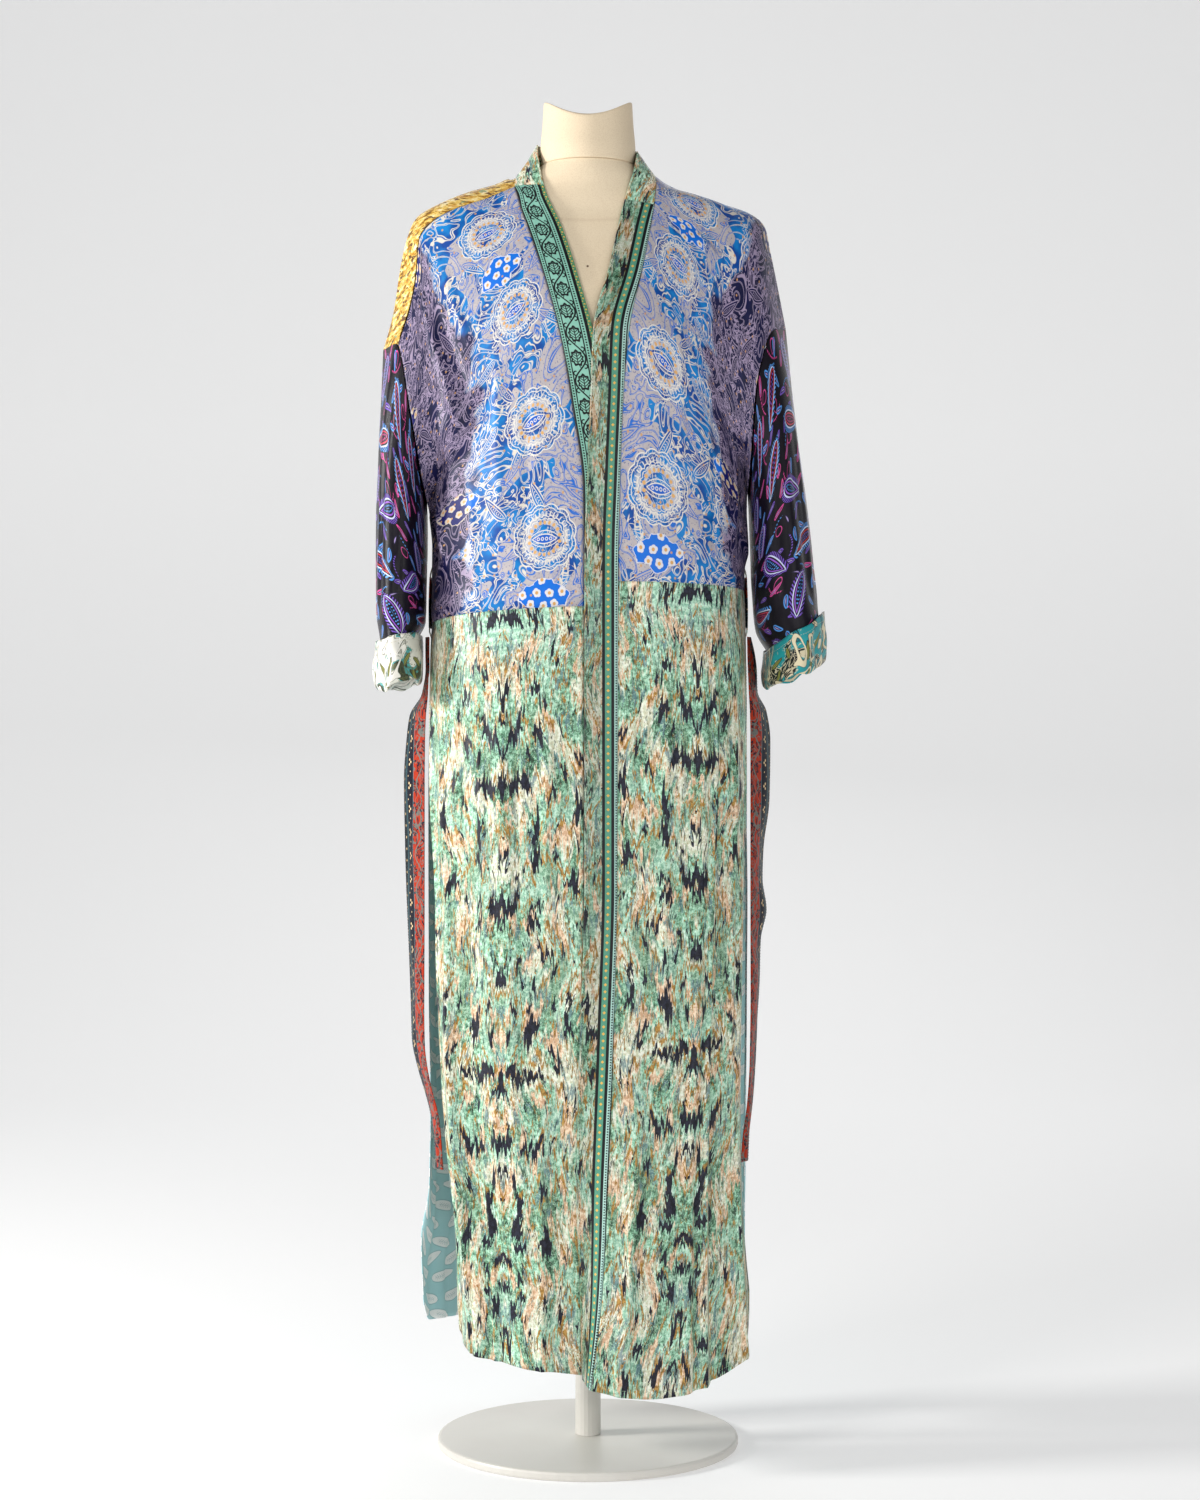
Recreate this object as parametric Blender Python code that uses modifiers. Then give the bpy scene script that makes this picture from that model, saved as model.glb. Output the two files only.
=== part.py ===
"""A patchwork kimono robe with its own sash, worn by a headless dress form on a round stand.

Metres, +Z up. The front faces -Y and the wearer's right hand is at -X. All the cloth is lofted over one
shared set of seam lines, so that neighbouring pieces meet at their seams with a small gap.
"""

import math

import bmesh
import bpy
from mathutils import Vector

# Walls and gaps
CLOTH_WALL = 0.0015
BAND_WALL = 0.0020
SASH_WALL = 0.0016
CUFF_WALL = 0.0013
LOOP_WALL = 0.0012
SEAM_GAP = 0.00035
CHEST_GAP = 0.0022
FORM_GAP = 0.0012
SHOULDER_GAP = 0.0034
NECKLINE_GAP = 0.0020

# Heights that several pieces share
BUST_HEIGHT = 1.19
NECK_SEAM_HEIGHT = 1.403
STAND_TOP = 0.705
SHOULDER_WIDEST = 1.300
BASE_RADIUS = 0.165
BASE_HEIGHT = 0.010
POLE_RADIUS = 0.0140

# Stations along a front: shoulder seam, underarm, waist seam and hem
SHOULDER = 0.0
UNDERARM = 1.0
WAIST = 2.0
HEM = 3.0
BACK_NECK = -1.0
WAIST_CLEAR_ABOVE = 0.0012
WAIST_CLEAR_BELOW = 0.0003
SHOULDER_CLEAR = 0.0030
SHOULDER_ROUND_BACK = 0.012
SHOULDER_ROUND_UP = {"right": 0.014, "left": 0.008}
SHOULDER_WRAP_UP = {"right": 0.0035, "left": 0.0010}
SHOULDER_SEAM_GAP = 0.0012

# How the back rounds over the shoulders: the row behind the seam, and where the plain level sections take over
BEHIND_SEAM = 0.22
SHOULDER_BLEND_END = 0.65
SHOULDER_ROUND_END = 0.75
NECK_FOOT_HEIGHT = 1.368
NECK_FOOT_DEPTH = 0.0985
BAND_JOIN_GAP = 0.0010
BAND_JOIN_ROW = 5

# Rows and columns of the lofts
ARM_ROWS = {
    "front": (0.0, 0.06, 0.13, 0.21, 0.30, 0.41, 0.54, 0.68, 0.83, 1.0),
    "back": (0.0, 0.05, 0.10, 0.16, 0.23, 0.31, 0.40, 0.50, 0.60, 0.70, 0.80, 0.90, 1.0),
}
WAIST_ROWS = 4
SKIRT_ROWS = 13
FRONT_COLUMNS = (0.0, 0.0625, 0.125, 0.1875, 0.25, 0.375, 0.5, 0.625, 0.75, 0.8125, 0.875, 0.9375, 1.0)
HALF_BACK_COLUMNS = 11
NECK_COLUMNS = 3
BAND_COLUMNS = 2
NECK_ROWS = 12

SIGN = {"right": -1, "left": 1}


class Table:
    """Rows of named columns, read at any key along one smooth curve through the rows."""

    def __init__(self, columns, rows):
        self.keys = [row[0] for row in rows]
        self.values = {name: [row[i] for row in rows] for i, name in enumerate(columns)}
        self.slopes = {name: self.even_slopes(values) for name, values in self.values.items()}

    def even_slopes(self, values):
        """Slopes at the rows that never overshoot a row's value."""
        count = len(self.keys)
        steps = [self.keys[i + 1] - self.keys[i] for i in range(count - 1)]
        rises = [(values[i + 1] - values[i]) / steps[i] for i in range(count - 1)]
        slopes = [rises[0]]
        for i in range(1, count - 1):
            if rises[i - 1] * rises[i] <= 0:
                slopes.append(0.0)
                continue
            before = 2 * steps[i] + steps[i - 1]
            after = steps[i] + 2 * steps[i - 1]
            slopes.append((before + after) / (before / rises[i - 1] + after / rises[i]))
        slopes.append(rises[-1])
        return slopes

    def at(self, key, name):
        """The named column's value at a key, held at its end values outside the table."""
        keys, values, slopes = self.keys, self.values[name], self.slopes[name]
        if key <= keys[0]:
            return values[0]
        if key >= keys[-1]:
            return values[-1]
        i = max(k for k in range(len(keys) - 1) if keys[k] <= key)
        step = keys[i + 1] - keys[i]
        t = (key - keys[i]) / step
        low = (1 + 2 * t) * (1 - t) ** 2 * values[i] + t * (1 - t) ** 2 * step * slopes[i]
        high = t * t * (3 - 2 * t) * values[i + 1] + t * t * (t - 1) * step * slopes[i + 1]
        return low + high

    def point(self, key, x, y, z):
        """Three columns at a key, as a point."""
        return Vector((self.at(key, x), self.at(key, y), self.at(key, z)))


def ease(value, start, end):
    """0 before start, 1 after end, and a smooth step between them."""
    t = min(1.0, max(0.0, (value - start) / (end - start)))
    return t * t * (3 - 2 * t)


def mix(first, second, share):
    return first * (1 - share) + second * share


def spaced(start, end, steps):
    """Evenly spaced values from start to end, both included."""
    return [start + (end - start) * i / steps for i in range(steps + 1)]


# The dress form's level sections, from its flat bottom to the neck seam
FORM = Table(
    ("height", "half_width", "front", "back"),
    (
        (0.705, 0.146, 0.078, 0.092),
        (0.712, 0.157, 0.087, 0.102),
        (0.730, 0.163, 0.093, 0.108),
        (0.760, 0.165, 0.095, 0.110),
        (0.820, 0.163, 0.094, 0.112),
        (0.900, 0.150, 0.090, 0.102),
        (0.970, 0.133, 0.083, 0.088),
        (1.020, 0.131, 0.083, 0.085),
        (1.100, 0.152, 0.096, 0.090),
        (1.150, 0.167, 0.106, 0.096),
        (1.190, 0.177, 0.1105, 0.100),
        (1.250, 0.184, 0.100, 0.098),
        (1.300, 0.187, 0.080, 0.086),
        (1.328, 0.182, 0.067, 0.071),
        (1.345, 0.170, 0.059, 0.062),
        (1.3560, 0.150, 0.0560, 0.0580),
        (1.3650, 0.124, 0.0535, 0.0565),
        (1.3705, 0.104, 0.0520, 0.0550),
        (1.3795, 0.080, 0.0508, 0.0540),
        (1.3865, 0.0705, 0.0510, 0.0535),
        (1.3930, 0.0620, 0.0503, 0.0525),
        (1.3980, 0.0560, 0.0499, 0.0520),
        (1.4027, 0.0515, 0.0495, 0.0515),
    ),
)
NECK = Table(
    ("height", "half_width"),
    ((0.0, 0.0515), (0.25, 0.0522), (0.65, 0.0500), (1.0, 0.0486)),
)
NECK_SIDE_TOP = 1.4735
NECK_SCOOP = 0.0235
NECK_MIDDLE_DIP = 0.004

# The neckband's two edges, keyed by station. Behind the neck it stands up, and down the front it lies flat.
BAND_COLUMNS_NAMES = ("station", "x_in", "y_in", "z_in", "x_out", "y_out", "z_out")
BAND_NECK_ROWS = {
    "right": (
        (-1.00, 0.0000, 0.0660, 1.4340, 0.0000, 0.0830, 1.3920),
        (-0.60, -0.0400, 0.0550, 1.4335, -0.0560, 0.0660, 1.3915),
        (-0.35, -0.0548, 0.0220, 1.4315, -0.0745, 0.0300, 1.3915),
        (-0.15, -0.0548, -0.0080, 1.4180, -0.0778, -0.0040, 1.3895),
    ),
    "left": (
        (-1.00, 0.0000, 0.0660, 1.4340, 0.0000, 0.0830, 1.3920),
        (-0.60, 0.0385, 0.0550, 1.4300, 0.0540, 0.0660, 1.3910),
        (-0.30, 0.0530, 0.0240, 1.4255, 0.0650, 0.0300, 1.3925),
        (0.00, 0.0530, -0.0060, 1.4170, 0.0675, -0.0030, 1.3955),
        (0.17, 0.0505, -0.0350, 1.3960, 0.0735, -0.0330, 1.3800),
    ),
}
BAND_FRONT_COLUMNS = ("station", "x_in", "z_in", "x_out", "z_out", "lift", "forward")
BAND_FRONT_ROWS = {
    "right": (
        (0.00, -0.0475, 1.3735, -0.0784, 1.3720, 0.0, 0.0),
        (0.25, -0.0272, 1.3220, -0.0632, 1.3220, 0.0, 0.0),
        (0.50, -0.0083, 1.2600, -0.0438, 1.2600, 0.0, 0.0),
        (0.75, 0.0072, 1.2000, -0.0283, 1.2000, 0.0, 0.0),
        (1.00, 0.0200, 1.1300, -0.0165, 1.1300, 0.0, 0.0),
        (1.40, 0.0322, 1.0400, -0.0045, 1.0400, 0.0, 0.0),
        (2.00, 0.0330, 0.9140, -0.0034, 0.9140, 0.0, 0.0),
        (2.50, 0.0325, 0.5200, -0.0040, 0.5200, 0.0, 0.0),
        (3.00, 0.0300, 0.1010, -0.0060, 0.1000, 0.0, 0.0),
    ),
    "left": (
        (0.35, 0.0425, 1.3655, 0.0724, 1.3585, 0.0, 0.0),
        (0.50, 0.0360, 1.3400, 0.0692, 1.3360, 0.0, 0.0),
        (0.75, 0.0225, 1.2760, 0.0578, 1.2740, 0.0012, 0.0),
        (1.00, 0.0058, 1.2061, 0.0436, 1.2061, 0.0034, 0.0),
        (1.25, 0.0028, 1.1300, 0.0372, 1.1300, 0.0034, 0.0),
        (1.50, 0.0000, 1.0600, 0.0345, 1.0600, 0.0034, 0.0),
        (2.00, -0.0032, 0.9404, 0.0322, 0.9404, 0.0034, 0.0),
        (2.40, -0.0032, 0.6200, 0.0310, 0.6200, 0.0034, 0.0010),
        (2.60, -0.0084, 0.4400, 0.0268, 0.4400, 0.0034, 0.0060),
        (2.76, -0.0112, 0.3050, 0.0215, 0.3050, 0.0036, 0.0150),
        (2.89, -0.0074, 0.1950, 0.0160, 0.1950, 0.0040, 0.0260),
        (3.00, -0.0040, 0.0960, 0.0040, 0.0920, 0.0042, 0.0335),
    ),
}

# The shoulder seam and the line behind it, from the neck (0) to the dropped armhole (1)
SHOULDER_COLUMNS = ("along", "x", "y", "z", "x_behind", "y_behind", "z_behind")
SHOULDER_LINE = {
    "right": Table(
        SHOULDER_COLUMNS,
        (
            (0.00, 0.0784, -0.0359, 1.3720, 0.0880, 0.0000, 1.3885),
            (0.12, 0.0950, -0.0383, 1.3650, 0.1010, 0.0000, 1.3825),
            (0.28, 0.1240, -0.0390, 1.3560, 0.1298, 0.0000, 1.3745),
            (0.44, 0.1503, -0.0380, 1.3469, 0.1628, 0.0000, 1.3615),
            (0.58, 0.1721, -0.0340, 1.3338, 0.1890, 0.0000, 1.3450),
            (0.68, 0.1835, -0.0330, 1.3175, 0.2000, 0.0000, 1.3180),
            (0.80, 0.1870, -0.0400, 1.2739, 0.2068, 0.0000, 1.2850),
            (0.90, 0.1930, -0.0460, 1.2412, 0.2130, 0.0000, 1.2440),
            (1.00, 0.2060, -0.0500, 1.2010, 0.2244, 0.0000, 1.2017),
        ),
    ),
    "left": Table(
        SHOULDER_COLUMNS,
        (
            (0.00, 0.0675, 0.0000, 1.3955, 0.0780, 0.0350, 1.3790),
            (0.12, 0.0850, 0.0030, 1.3835, 0.0900, 0.0360, 1.3720),
            (0.28, 0.1150, 0.0030, 1.3715, 0.1180, 0.0370, 1.3600),
            (0.44, 0.1500, 0.0030, 1.3612, 0.1500, 0.0370, 1.3500),
            (0.58, 0.1800, 0.0030, 1.3500, 0.1780, 0.0360, 1.3380),
            (0.68, 0.1936, 0.0030, 1.3370, 0.1900, 0.0370, 1.3230),
            (0.80, 0.2002, 0.0030, 1.3080, 0.1960, 0.0400, 1.2950),
            (0.90, 0.2080, 0.0020, 1.2700, 0.2020, 0.0430, 1.2600),
            (1.00, 0.2167, 0.0000, 1.2237, 0.2020, 0.0460, 1.2160),
        ),
    ),
}

# Half of an armhole, by the angle from its top (0) to the underarm (180). The other half mirrors it in Y.
ARMHOLE_COLUMNS = ("angle", "x", "y", "z")
ARMHOLE = {
    "right": Table(
        ARMHOLE_COLUMNS,
        (
            (0, 0.2244, 0.0000, 1.2017),
            (45, 0.2060, 0.0500, 1.2010),
            (90, 0.1900, 0.0740, 1.1250),
            (135, 0.1790, 0.0560, 1.0550),
            (180, 0.1735, 0.0000, 1.0180),
        ),
    ),
    "left": Table(
        ARMHOLE_COLUMNS,
        (
            (0, 0.2167, 0.0000, 1.2237),
            (45, 0.1985, 0.0500, 1.2140),
            (90, 0.1800, 0.0730, 1.1450),
            (135, 0.1750, 0.0560, 1.0720),
            (180, 0.1735, 0.0000, 1.0300),
        ),
    ),
}
ARM_START = {"right": {"front": -50.0, "back": -50.0}, "left": {"front": 0.0, "back": 0.0}}

# The side edges below the underarm: one seam down to the top of the vent, then two free edges
SIDE_COLUMNS = ("station", "x_front", "y_front", "z_front", "x_back", "y_back", "z_back")
SIDE = {
    "right": Table(
        SIDE_COLUMNS,
        (
            (1.00, 0.1735, 0.000, 1.0180, 0.1735, 0.000, 1.0180),
            (1.30, 0.1705, 0.000, 0.9820, 0.1705, 0.000, 0.9820),
            (2.00, 0.1715, 0.000, 0.8985, 0.1715, 0.000, 0.8985),
            (2.14, 0.1735, 0.000, 0.8000, 0.1735, 0.000, 0.8000),
            (2.28, 0.1715, -0.014, 0.7000, 0.1755, 0.012, 0.7000),
            (2.42, 0.1650, -0.028, 0.6000, 0.1760, 0.022, 0.6000),
            (2.57, 0.1628, -0.035, 0.4900, 0.1760, 0.028, 0.4900),
            (2.72, 0.1560, -0.038, 0.3800, 0.1745, 0.030, 0.3800),
            (2.86, 0.1450, -0.040, 0.2800, 0.1760, 0.030, 0.2800),
            (2.94, 0.1420, -0.040, 0.2200, 0.1850, 0.031, 0.2200),
            (3.00, 0.1410, -0.041, 0.1760, 0.1835, 0.034, 0.1700),
        ),
    ),
    "left": Table(
        SIDE_COLUMNS,
        (
            (1.00, 0.1735, 0.000, 1.0300, 0.1735, 0.000, 1.0300),
            (1.30, 0.1705, 0.000, 0.9950, 0.1705, 0.000, 0.9950),
            (2.00, 0.1715, 0.000, 0.9350, 0.1715, 0.000, 0.9350),
            (2.18, 0.1735, 0.000, 0.8000, 0.1735, 0.000, 0.8000),
            (2.31, 0.1722, -0.014, 0.7000, 0.1745, 0.012, 0.7000),
            (2.44, 0.1682, -0.028, 0.6000, 0.1745, 0.022, 0.6000),
            (2.59, 0.1661, -0.035, 0.4900, 0.1745, 0.028, 0.4900),
            (2.73, 0.1650, -0.038, 0.3800, 0.1740, 0.030, 0.3800),
            (2.86, 0.1665, -0.040, 0.2800, 0.1735, 0.031, 0.2800),
            (2.94, 0.1705, -0.040, 0.2200, 0.1735, 0.032, 0.2200),
            (3.00, 0.1747, -0.041, 0.1760, 0.1730, 0.034, 0.1700),
        ),
    ),
}
BACK_CENTRE = Table(
    ("station", "y", "z"),
    (
        (0.00, 0.0830, 1.3920),
        (0.16, 0.1000, 1.3650),
        (0.40, 0.1090, 1.3050),
        (0.70, 0.1120, 1.2250),
        (1.00, 0.1125, 1.1300),
        (1.50, 0.1120, 1.0100),
        (2.00, 0.1130, 0.9120),
        (2.20, 0.1170, 0.7700),
        (2.50, 0.1190, 0.5300),
        (3.00, 0.1220, 0.1200),
    ),
)
# How a front's level section turns from its edge to its side, and how flat it stays first
TURN = Table(
    ("station", "degrees", "flatness"),
    ((0.0, 50, 1.0), (0.7, 55, 1.1), (1.0, 78, 1.2), (1.4, 90, 1.25), (2.2, 90, 1.2), (3.0, 84, 1.1)),
)

# Hanging folds: where each lies across its panel at the start and end, its width, height and stations
FOLD_COLUMNS = ("across_start", "across_end", "width", "height", "start", "end")
FOLDS = {
    "front_right": (
        (0.70, 0.66, 0.09, 0.0070, 0.45, 1.90),
        (0.88, 0.84, 0.06, -0.0060, 0.55, 1.75),
        (0.80, 0.60, 0.07, 0.0075, 2.35, 3.20),
        (0.60, 0.46, 0.07, -0.0045, 2.25, 3.20),
        (0.36, 0.26, 0.08, 0.0060, 2.05, 3.20),
        (0.93, 0.90, 0.05, -0.0040, 2.30, 3.20),
    ),
    "front_left": (
        (0.90, 0.88, 0.07, 0.0060, 0.45, 1.90),
        (0.44, 0.42, 0.05, 0.0060, 2.05, 3.20),
        (0.60, 0.62, 0.07, -0.0045, 2.20, 3.20),
        (0.80, 0.82, 0.07, 0.0060, 2.25, 3.20),
        (0.20, 0.24, 0.07, -0.0040, 2.35, 3.20),
    ),
    "back": (
        (-0.82, -0.80, 0.07, 0.0065, 2.15, 3.20),
        (-0.55, -0.58, 0.08, 0.0085, 2.05, 3.20),
        (-0.30, -0.36, 0.07, -0.0050, 2.15, 3.20),
        (-0.12, -0.10, 0.08, 0.0080, 2.00, 3.20),
        (0.24, 0.20, 0.09, 0.0070, 2.10, 3.20),
        (0.42, 0.42, 0.06, -0.0050, 2.20, 3.20),
        (0.62, 0.66, 0.08, 0.0085, 2.05, 3.20),
        (0.86, 0.86, 0.06, 0.0060, 2.20, 3.20),
        (-0.45, -0.40, 0.10, 0.0050, 0.75, 1.78),
        (0.46, 0.38, 0.09, 0.0055, 0.75, 1.78),
    ),
}
FOLD_EASE = 0.22
HEM_CORNER = {"front_right": (0.74, 0.052), "front_left": (0.78, 0.052), "back": (0.80, 0.048)}
HEM_LINE = {
    "front_right": Table(("across", "z"), ((0.0, 0.0), (0.3, 0.006), (0.6, 0.013), (1.0, 0.024))),
    "front_left": Table(("across", "z"), ((0.0, 0.0), (0.25, -0.011), (0.5, -0.004), (1.0, 0.032))),
    "back": Table(("across", "z"), ((0.0, 0.0), (0.6, 0.002), (1.0, 0.004))),
}

# The sleeves' level rings below the armhole, and the turned-back cuffs
SLEEVE_COLUMNS = ("along", "x", "y", "z", "half_width", "half_depth", "tilt")
SLEEVE = {
    "right": Table(
        SLEEVE_COLUMNS,
        (
            (0.00, 0.2007, 0.000, 1.1090, 0.0237, 0.0740, 0.0900),
            (0.35, 0.2032, 0.000, 1.0300, 0.0255, 0.0780, 0.0560),
            (0.62, 0.2046, 0.002, 0.9600, 0.0256, 0.0810, 0.0250),
            (0.85, 0.2052, 0.004, 0.9080, 0.0250, 0.0820, 0.0040),
            (1.00, 0.2077, 0.004, 0.8810, 0.0185, 0.0820, -0.0040),
        ),
    ),
    "left": Table(
        SLEEVE_COLUMNS,
        (
            (0.00, 0.1975, 0.000, 1.1260, 0.0200, 0.0730, 0.0960),
            (0.35, 0.2045, 0.000, 1.0400, 0.0250, 0.0780, 0.0600),
            (0.62, 0.2116, 0.002, 0.9680, 0.0302, 0.0810, 0.0320),
            (0.85, 0.2170, 0.004, 0.9170, 0.0315, 0.0820, 0.0230),
            (1.00, 0.2265, 0.004, 0.8880, 0.0255, 0.0820, 0.0220),
        ),
    ),
}
SLEEVE_ROWS = 10
SLEEVE_FOLDS = {
    "right": (
        (-62, 26, 0.0050, 0.00, 0.98),
        (-108, 24, -0.0045, 0.02, 0.75),
        (-28, 20, -0.0030, 0.15, 0.95),
        (75, 30, 0.0050, 0.05, 0.98),
        (125, 26, -0.0040, 0.20, 0.98),
    ),
    "left": (
        (-70, 28, 0.0050, 0.10, 0.98),
        (-118, 24, -0.0045, 0.12, 0.90),
        (-30, 22, -0.0035, 0.20, 0.98),
        (70, 30, 0.0055, 0.10, 0.98),
        (120, 26, -0.0040, 0.15, 0.98),
    ),
}
CUFF_SEGMENTS = 26
CUFF_DEEPEST = 0.0475
CUFF_GAP = 0.0016
# From the sleeve's end down inside, round the fold and up outside: drop, and distance out of the sleeve
CUFF_PATH = (
    (0.0000, 0.0000),
    (0.0160, 0.0004),
    (0.0330, 0.0008),
    (0.0440, 0.0018),
    (0.0475, 0.0042),
    (0.0430, 0.0064),
    (0.0270, 0.0072),
    (0.0100, 0.0070),
    (-0.0050, 0.0062),
)
CUFF_WAVES = {
    "right": ((2, 20, 0.0030, 0.0030), (3, 75, 0.0022, 0.0040), (7, 10, 0.0010, 0.0018)),
    "left": ((2, 65, 0.0030, 0.0034), (3, 30, 0.0022, 0.0036), (7, 50, 0.0011, 0.0020)),
}
CUFF_HEIGHT = {"right": 1.0, "left": 0.92}
CUFF_LEAN = {"right": 0.0, "left": -0.009}

# The sash: one length across the back, and an end hanging at each side
SASH_LOW = 0.896
SASH_HIGH = 0.952
SASH_OFF_BACK = 0.0025
SASH_ROWS = 2
SASH_END_COLUMNS = ("height", "x_front", "y_front", "x_rear", "y_rear")
SASH_END = {
    "right": Table(
        SASH_END_COLUMNS,
        (
            (0.305, 0.1570, -0.0320, 0.1650, -0.0180),
            (0.345, 0.1600, -0.0300, 0.1690, -0.0020),
            (0.366, 0.1630, -0.0280, 0.1735, 0.0050),
            (0.388, 0.1690, -0.0240, 0.1800, 0.0160),
            (0.408, 0.1740, -0.0200, 0.1866, 0.0260),
            (0.440, 0.1785, -0.0130, 0.1949, 0.0370),
            (0.485, 0.1795, -0.0060, 0.1971, 0.0450),
            (0.540, 0.1795, -0.0030, 0.1993, 0.0480),
            (0.650, 0.1795, 0.0000, 0.2037, 0.0500),
            (0.728, 0.1795, 0.0000, 0.2049, 0.0500),
            (0.775, 0.1790, 0.0000, 0.2020, 0.0500),
            (0.800, 0.1780, -0.0010, 0.1920, 0.0480),
            (0.822, 0.1758, -0.0020, 0.1775, 0.0420),
            (0.850, 0.1748, -0.0030, 0.1760, 0.0300),
            (0.870, 0.1746, -0.0050, 0.1752, 0.0160),
            (0.886, 0.1743, -0.0060, 0.1747, 0.0100),
        ),
    ),
    "left": Table(
        SASH_END_COLUMNS,
        (
            (0.313, 0.1660, -0.0300, 0.1742, -0.0140),
            (0.345, 0.1690, -0.0280, 0.1765, 0.0000),
            (0.375, 0.1735, -0.0220, 0.1800, 0.0130),
            (0.418, 0.1770, -0.0120, 0.1830, 0.0330),
            (0.507, 0.1785, -0.0030, 0.1905, 0.0470),
            (0.551, 0.1785, -0.0020, 0.1916, 0.0490),
            (0.584, 0.1785, -0.0010, 0.1982, 0.0490),
            (0.618, 0.1785, 0.0000, 0.1938, 0.0500),
            (0.651, 0.1785, 0.0000, 0.1949, 0.0500),
            (0.706, 0.1785, 0.0000, 0.2015, 0.0490),
            (0.773, 0.1785, 0.0000, 0.2026, 0.0490),
            (0.805, 0.1778, -0.0010, 0.1980, 0.0450),
            (0.826, 0.1765, -0.0020, 0.1875, 0.0360),
            (0.850, 0.1755, -0.0030, 0.1860, 0.0300),
            (0.868, 0.1748, -0.0050, 0.1820, 0.0190),
            (0.886, 0.1745, -0.0060, 0.1752, 0.0100),
        ),
    ),
}
SASH_END_ROWS = 26
SASH_END_COLUMNS_ACROSS = 3
SASH_CURL = 0.0030
LOOP_CENTRE = 0.020
LOOP_HALF_WIDTH = 0.004
LOOP_LOW = 0.884
LOOP_HIGH = 0.966
LOOP_OFF = 0.0051
LOOP_FOOT = 0.0021

# Plain colours of the finishes: base colour, roughness, metallic
FINISHES = {
    "blue_paisley": ((0.16, 0.30, 0.72), 0.45, 0.0),
    "green_ikat": ((0.33, 0.55, 0.42), 0.50, 0.0),
    "gold_mottle": ((0.62, 0.46, 0.16), 0.50, 0.0),
    "teal_paisley": ((0.18, 0.42, 0.47), 0.50, 0.0),
    "night_paisley": ((0.03, 0.02, 0.08), 0.35, 0.0),
    "cream_scroll": ((0.45, 0.62, 0.60), 0.45, 0.0),
    "vine_border": ((0.20, 0.50, 0.46), 0.45, 0.0),
    "striped_border": ((0.22, 0.44, 0.34), 0.45, 0.0),
    "rust_sash": ((0.52, 0.12, 0.05), 0.45, 0.0),
    "form_jersey": ((0.80, 0.68, 0.53), 0.60, 0.0),
    "stand_enamel": ((0.80, 0.78, 0.74), 0.35, 0.0),
}


def on_chest(x, z):
    """Y of cloth lying on the form's chest, which hangs plumb below the bust."""
    height = max(z, BUST_HEIGHT)
    half_width = FORM.at(height, "half_width")
    depth = FORM.at(height, "front")
    return -(depth * math.sqrt(max(0.0, 1 - (x / half_width) ** 2)) + CHEST_GAP)


def band_table(side):
    """Both edges of a side's neckband, with the depth of its front stretch worked out from the chest."""
    rows = list(BAND_NECK_ROWS[side])
    for station, x_in, z_in, x_out, z_out, lift, forward in BAND_FRONT_ROWS[side]:
        y_in = on_chest(x_in, z_in) - lift
        y_out = on_chest(x_out, z_out) - lift - forward
        rows.append((station, x_in, y_in, z_in, x_out, y_out, z_out))
    return Table(BAND_COLUMNS_NAMES, rows)


BAND = {side: band_table(side) for side in SIGN}


def form_reach(x, y, z):
    """How far out a point is, where 1 is the form's surface at that height."""
    depth = FORM.at(z, "front" if y < 0 else "back")
    return math.hypot(x / FORM.at(z, "half_width"), y / depth)


def form_top(x, y):
    """The height of the form's shoulder above a point, found by halving."""
    low, high = SHOULDER_WIDEST, FORM.keys[-1]
    for _ in range(24):
        middle = (low + high) / 2
        if form_reach(x, y, middle) < 1:
            low = middle
        else:
            high = middle
    return low


def clear_of_form(point):
    """The point, pushed out or up, whichever is less, where it would come too near the dress form."""
    x, y, z = point
    if z < FORM.keys[0] - 0.01:
        return point
    gap = mix(FORM_GAP, SHOULDER_GAP, ease(z, 1.26, 1.33))
    reach = form_reach(x, y, z)
    least = 1 + gap / min(FORM.at(z, "half_width"), FORM.at(z, "front"))
    if reach >= least or reach < 1e-6:
        return point
    out = math.hypot(x, y) * (least / reach - 1)
    if z > SHOULDER_WIDEST:
        up = form_top(x, y) + gap - z
        if up < out:
            return Vector((x, y, max(z, z + up)))
    return Vector((x * least / reach, y * least / reach, z))


def outward(point):
    """The level direction out of the robe's oval at a point."""
    return Vector((point.x / 0.175**2, point.y / 0.12**2, 0)).normalized()


def folded(point, panel, across, station):
    """The point moved out by the panel's hanging folds."""
    height = 0.0
    for across_start, across_end, width, rise, start, end in FOLDS[panel]:
        share = (station - start) / (end - start)
        middle = mix(across_start, across_end, min(1.0, max(0.0, share)))
        fade = ease(station, start, start + FOLD_EASE) * (1 - ease(station, end - FOLD_EASE, end))
        height += rise * fade * math.exp(-(((across - middle) / width) ** 2))
    return point + outward(point) * height


def armhole(side, angle):
    """A point of the armhole seam, its front half at negative angles."""
    table = ARMHOLE[side]
    turn = abs(angle)
    y = math.copysign(table.at(turn, "y"), angle)
    return Vector((SIGN[side] * table.at(turn, "x"), y, table.at(turn, "z")))


def arm_angle(side, face, station):
    """The armhole angle that a front's or the back's row reaches between shoulder and underarm."""
    start = ARM_START[side][face]
    end = -180.0 if face == "front" else 180.0
    return mix(start, end, min(1.0, station))


def side_point(side, face, station):
    """The outer end of a row: on the armhole above the underarm, and on the side edge below it."""
    if station < UNDERARM:
        point = armhole(side, arm_angle(side, face, station))
    else:
        point = SIDE[side].point(station, "x_" + face, "y_" + face, "z_" + face)
        point.x *= SIGN[side]
    point.y += SEAM_GAP * (-0.6 if face == "front" else 0.6)
    return point


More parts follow.
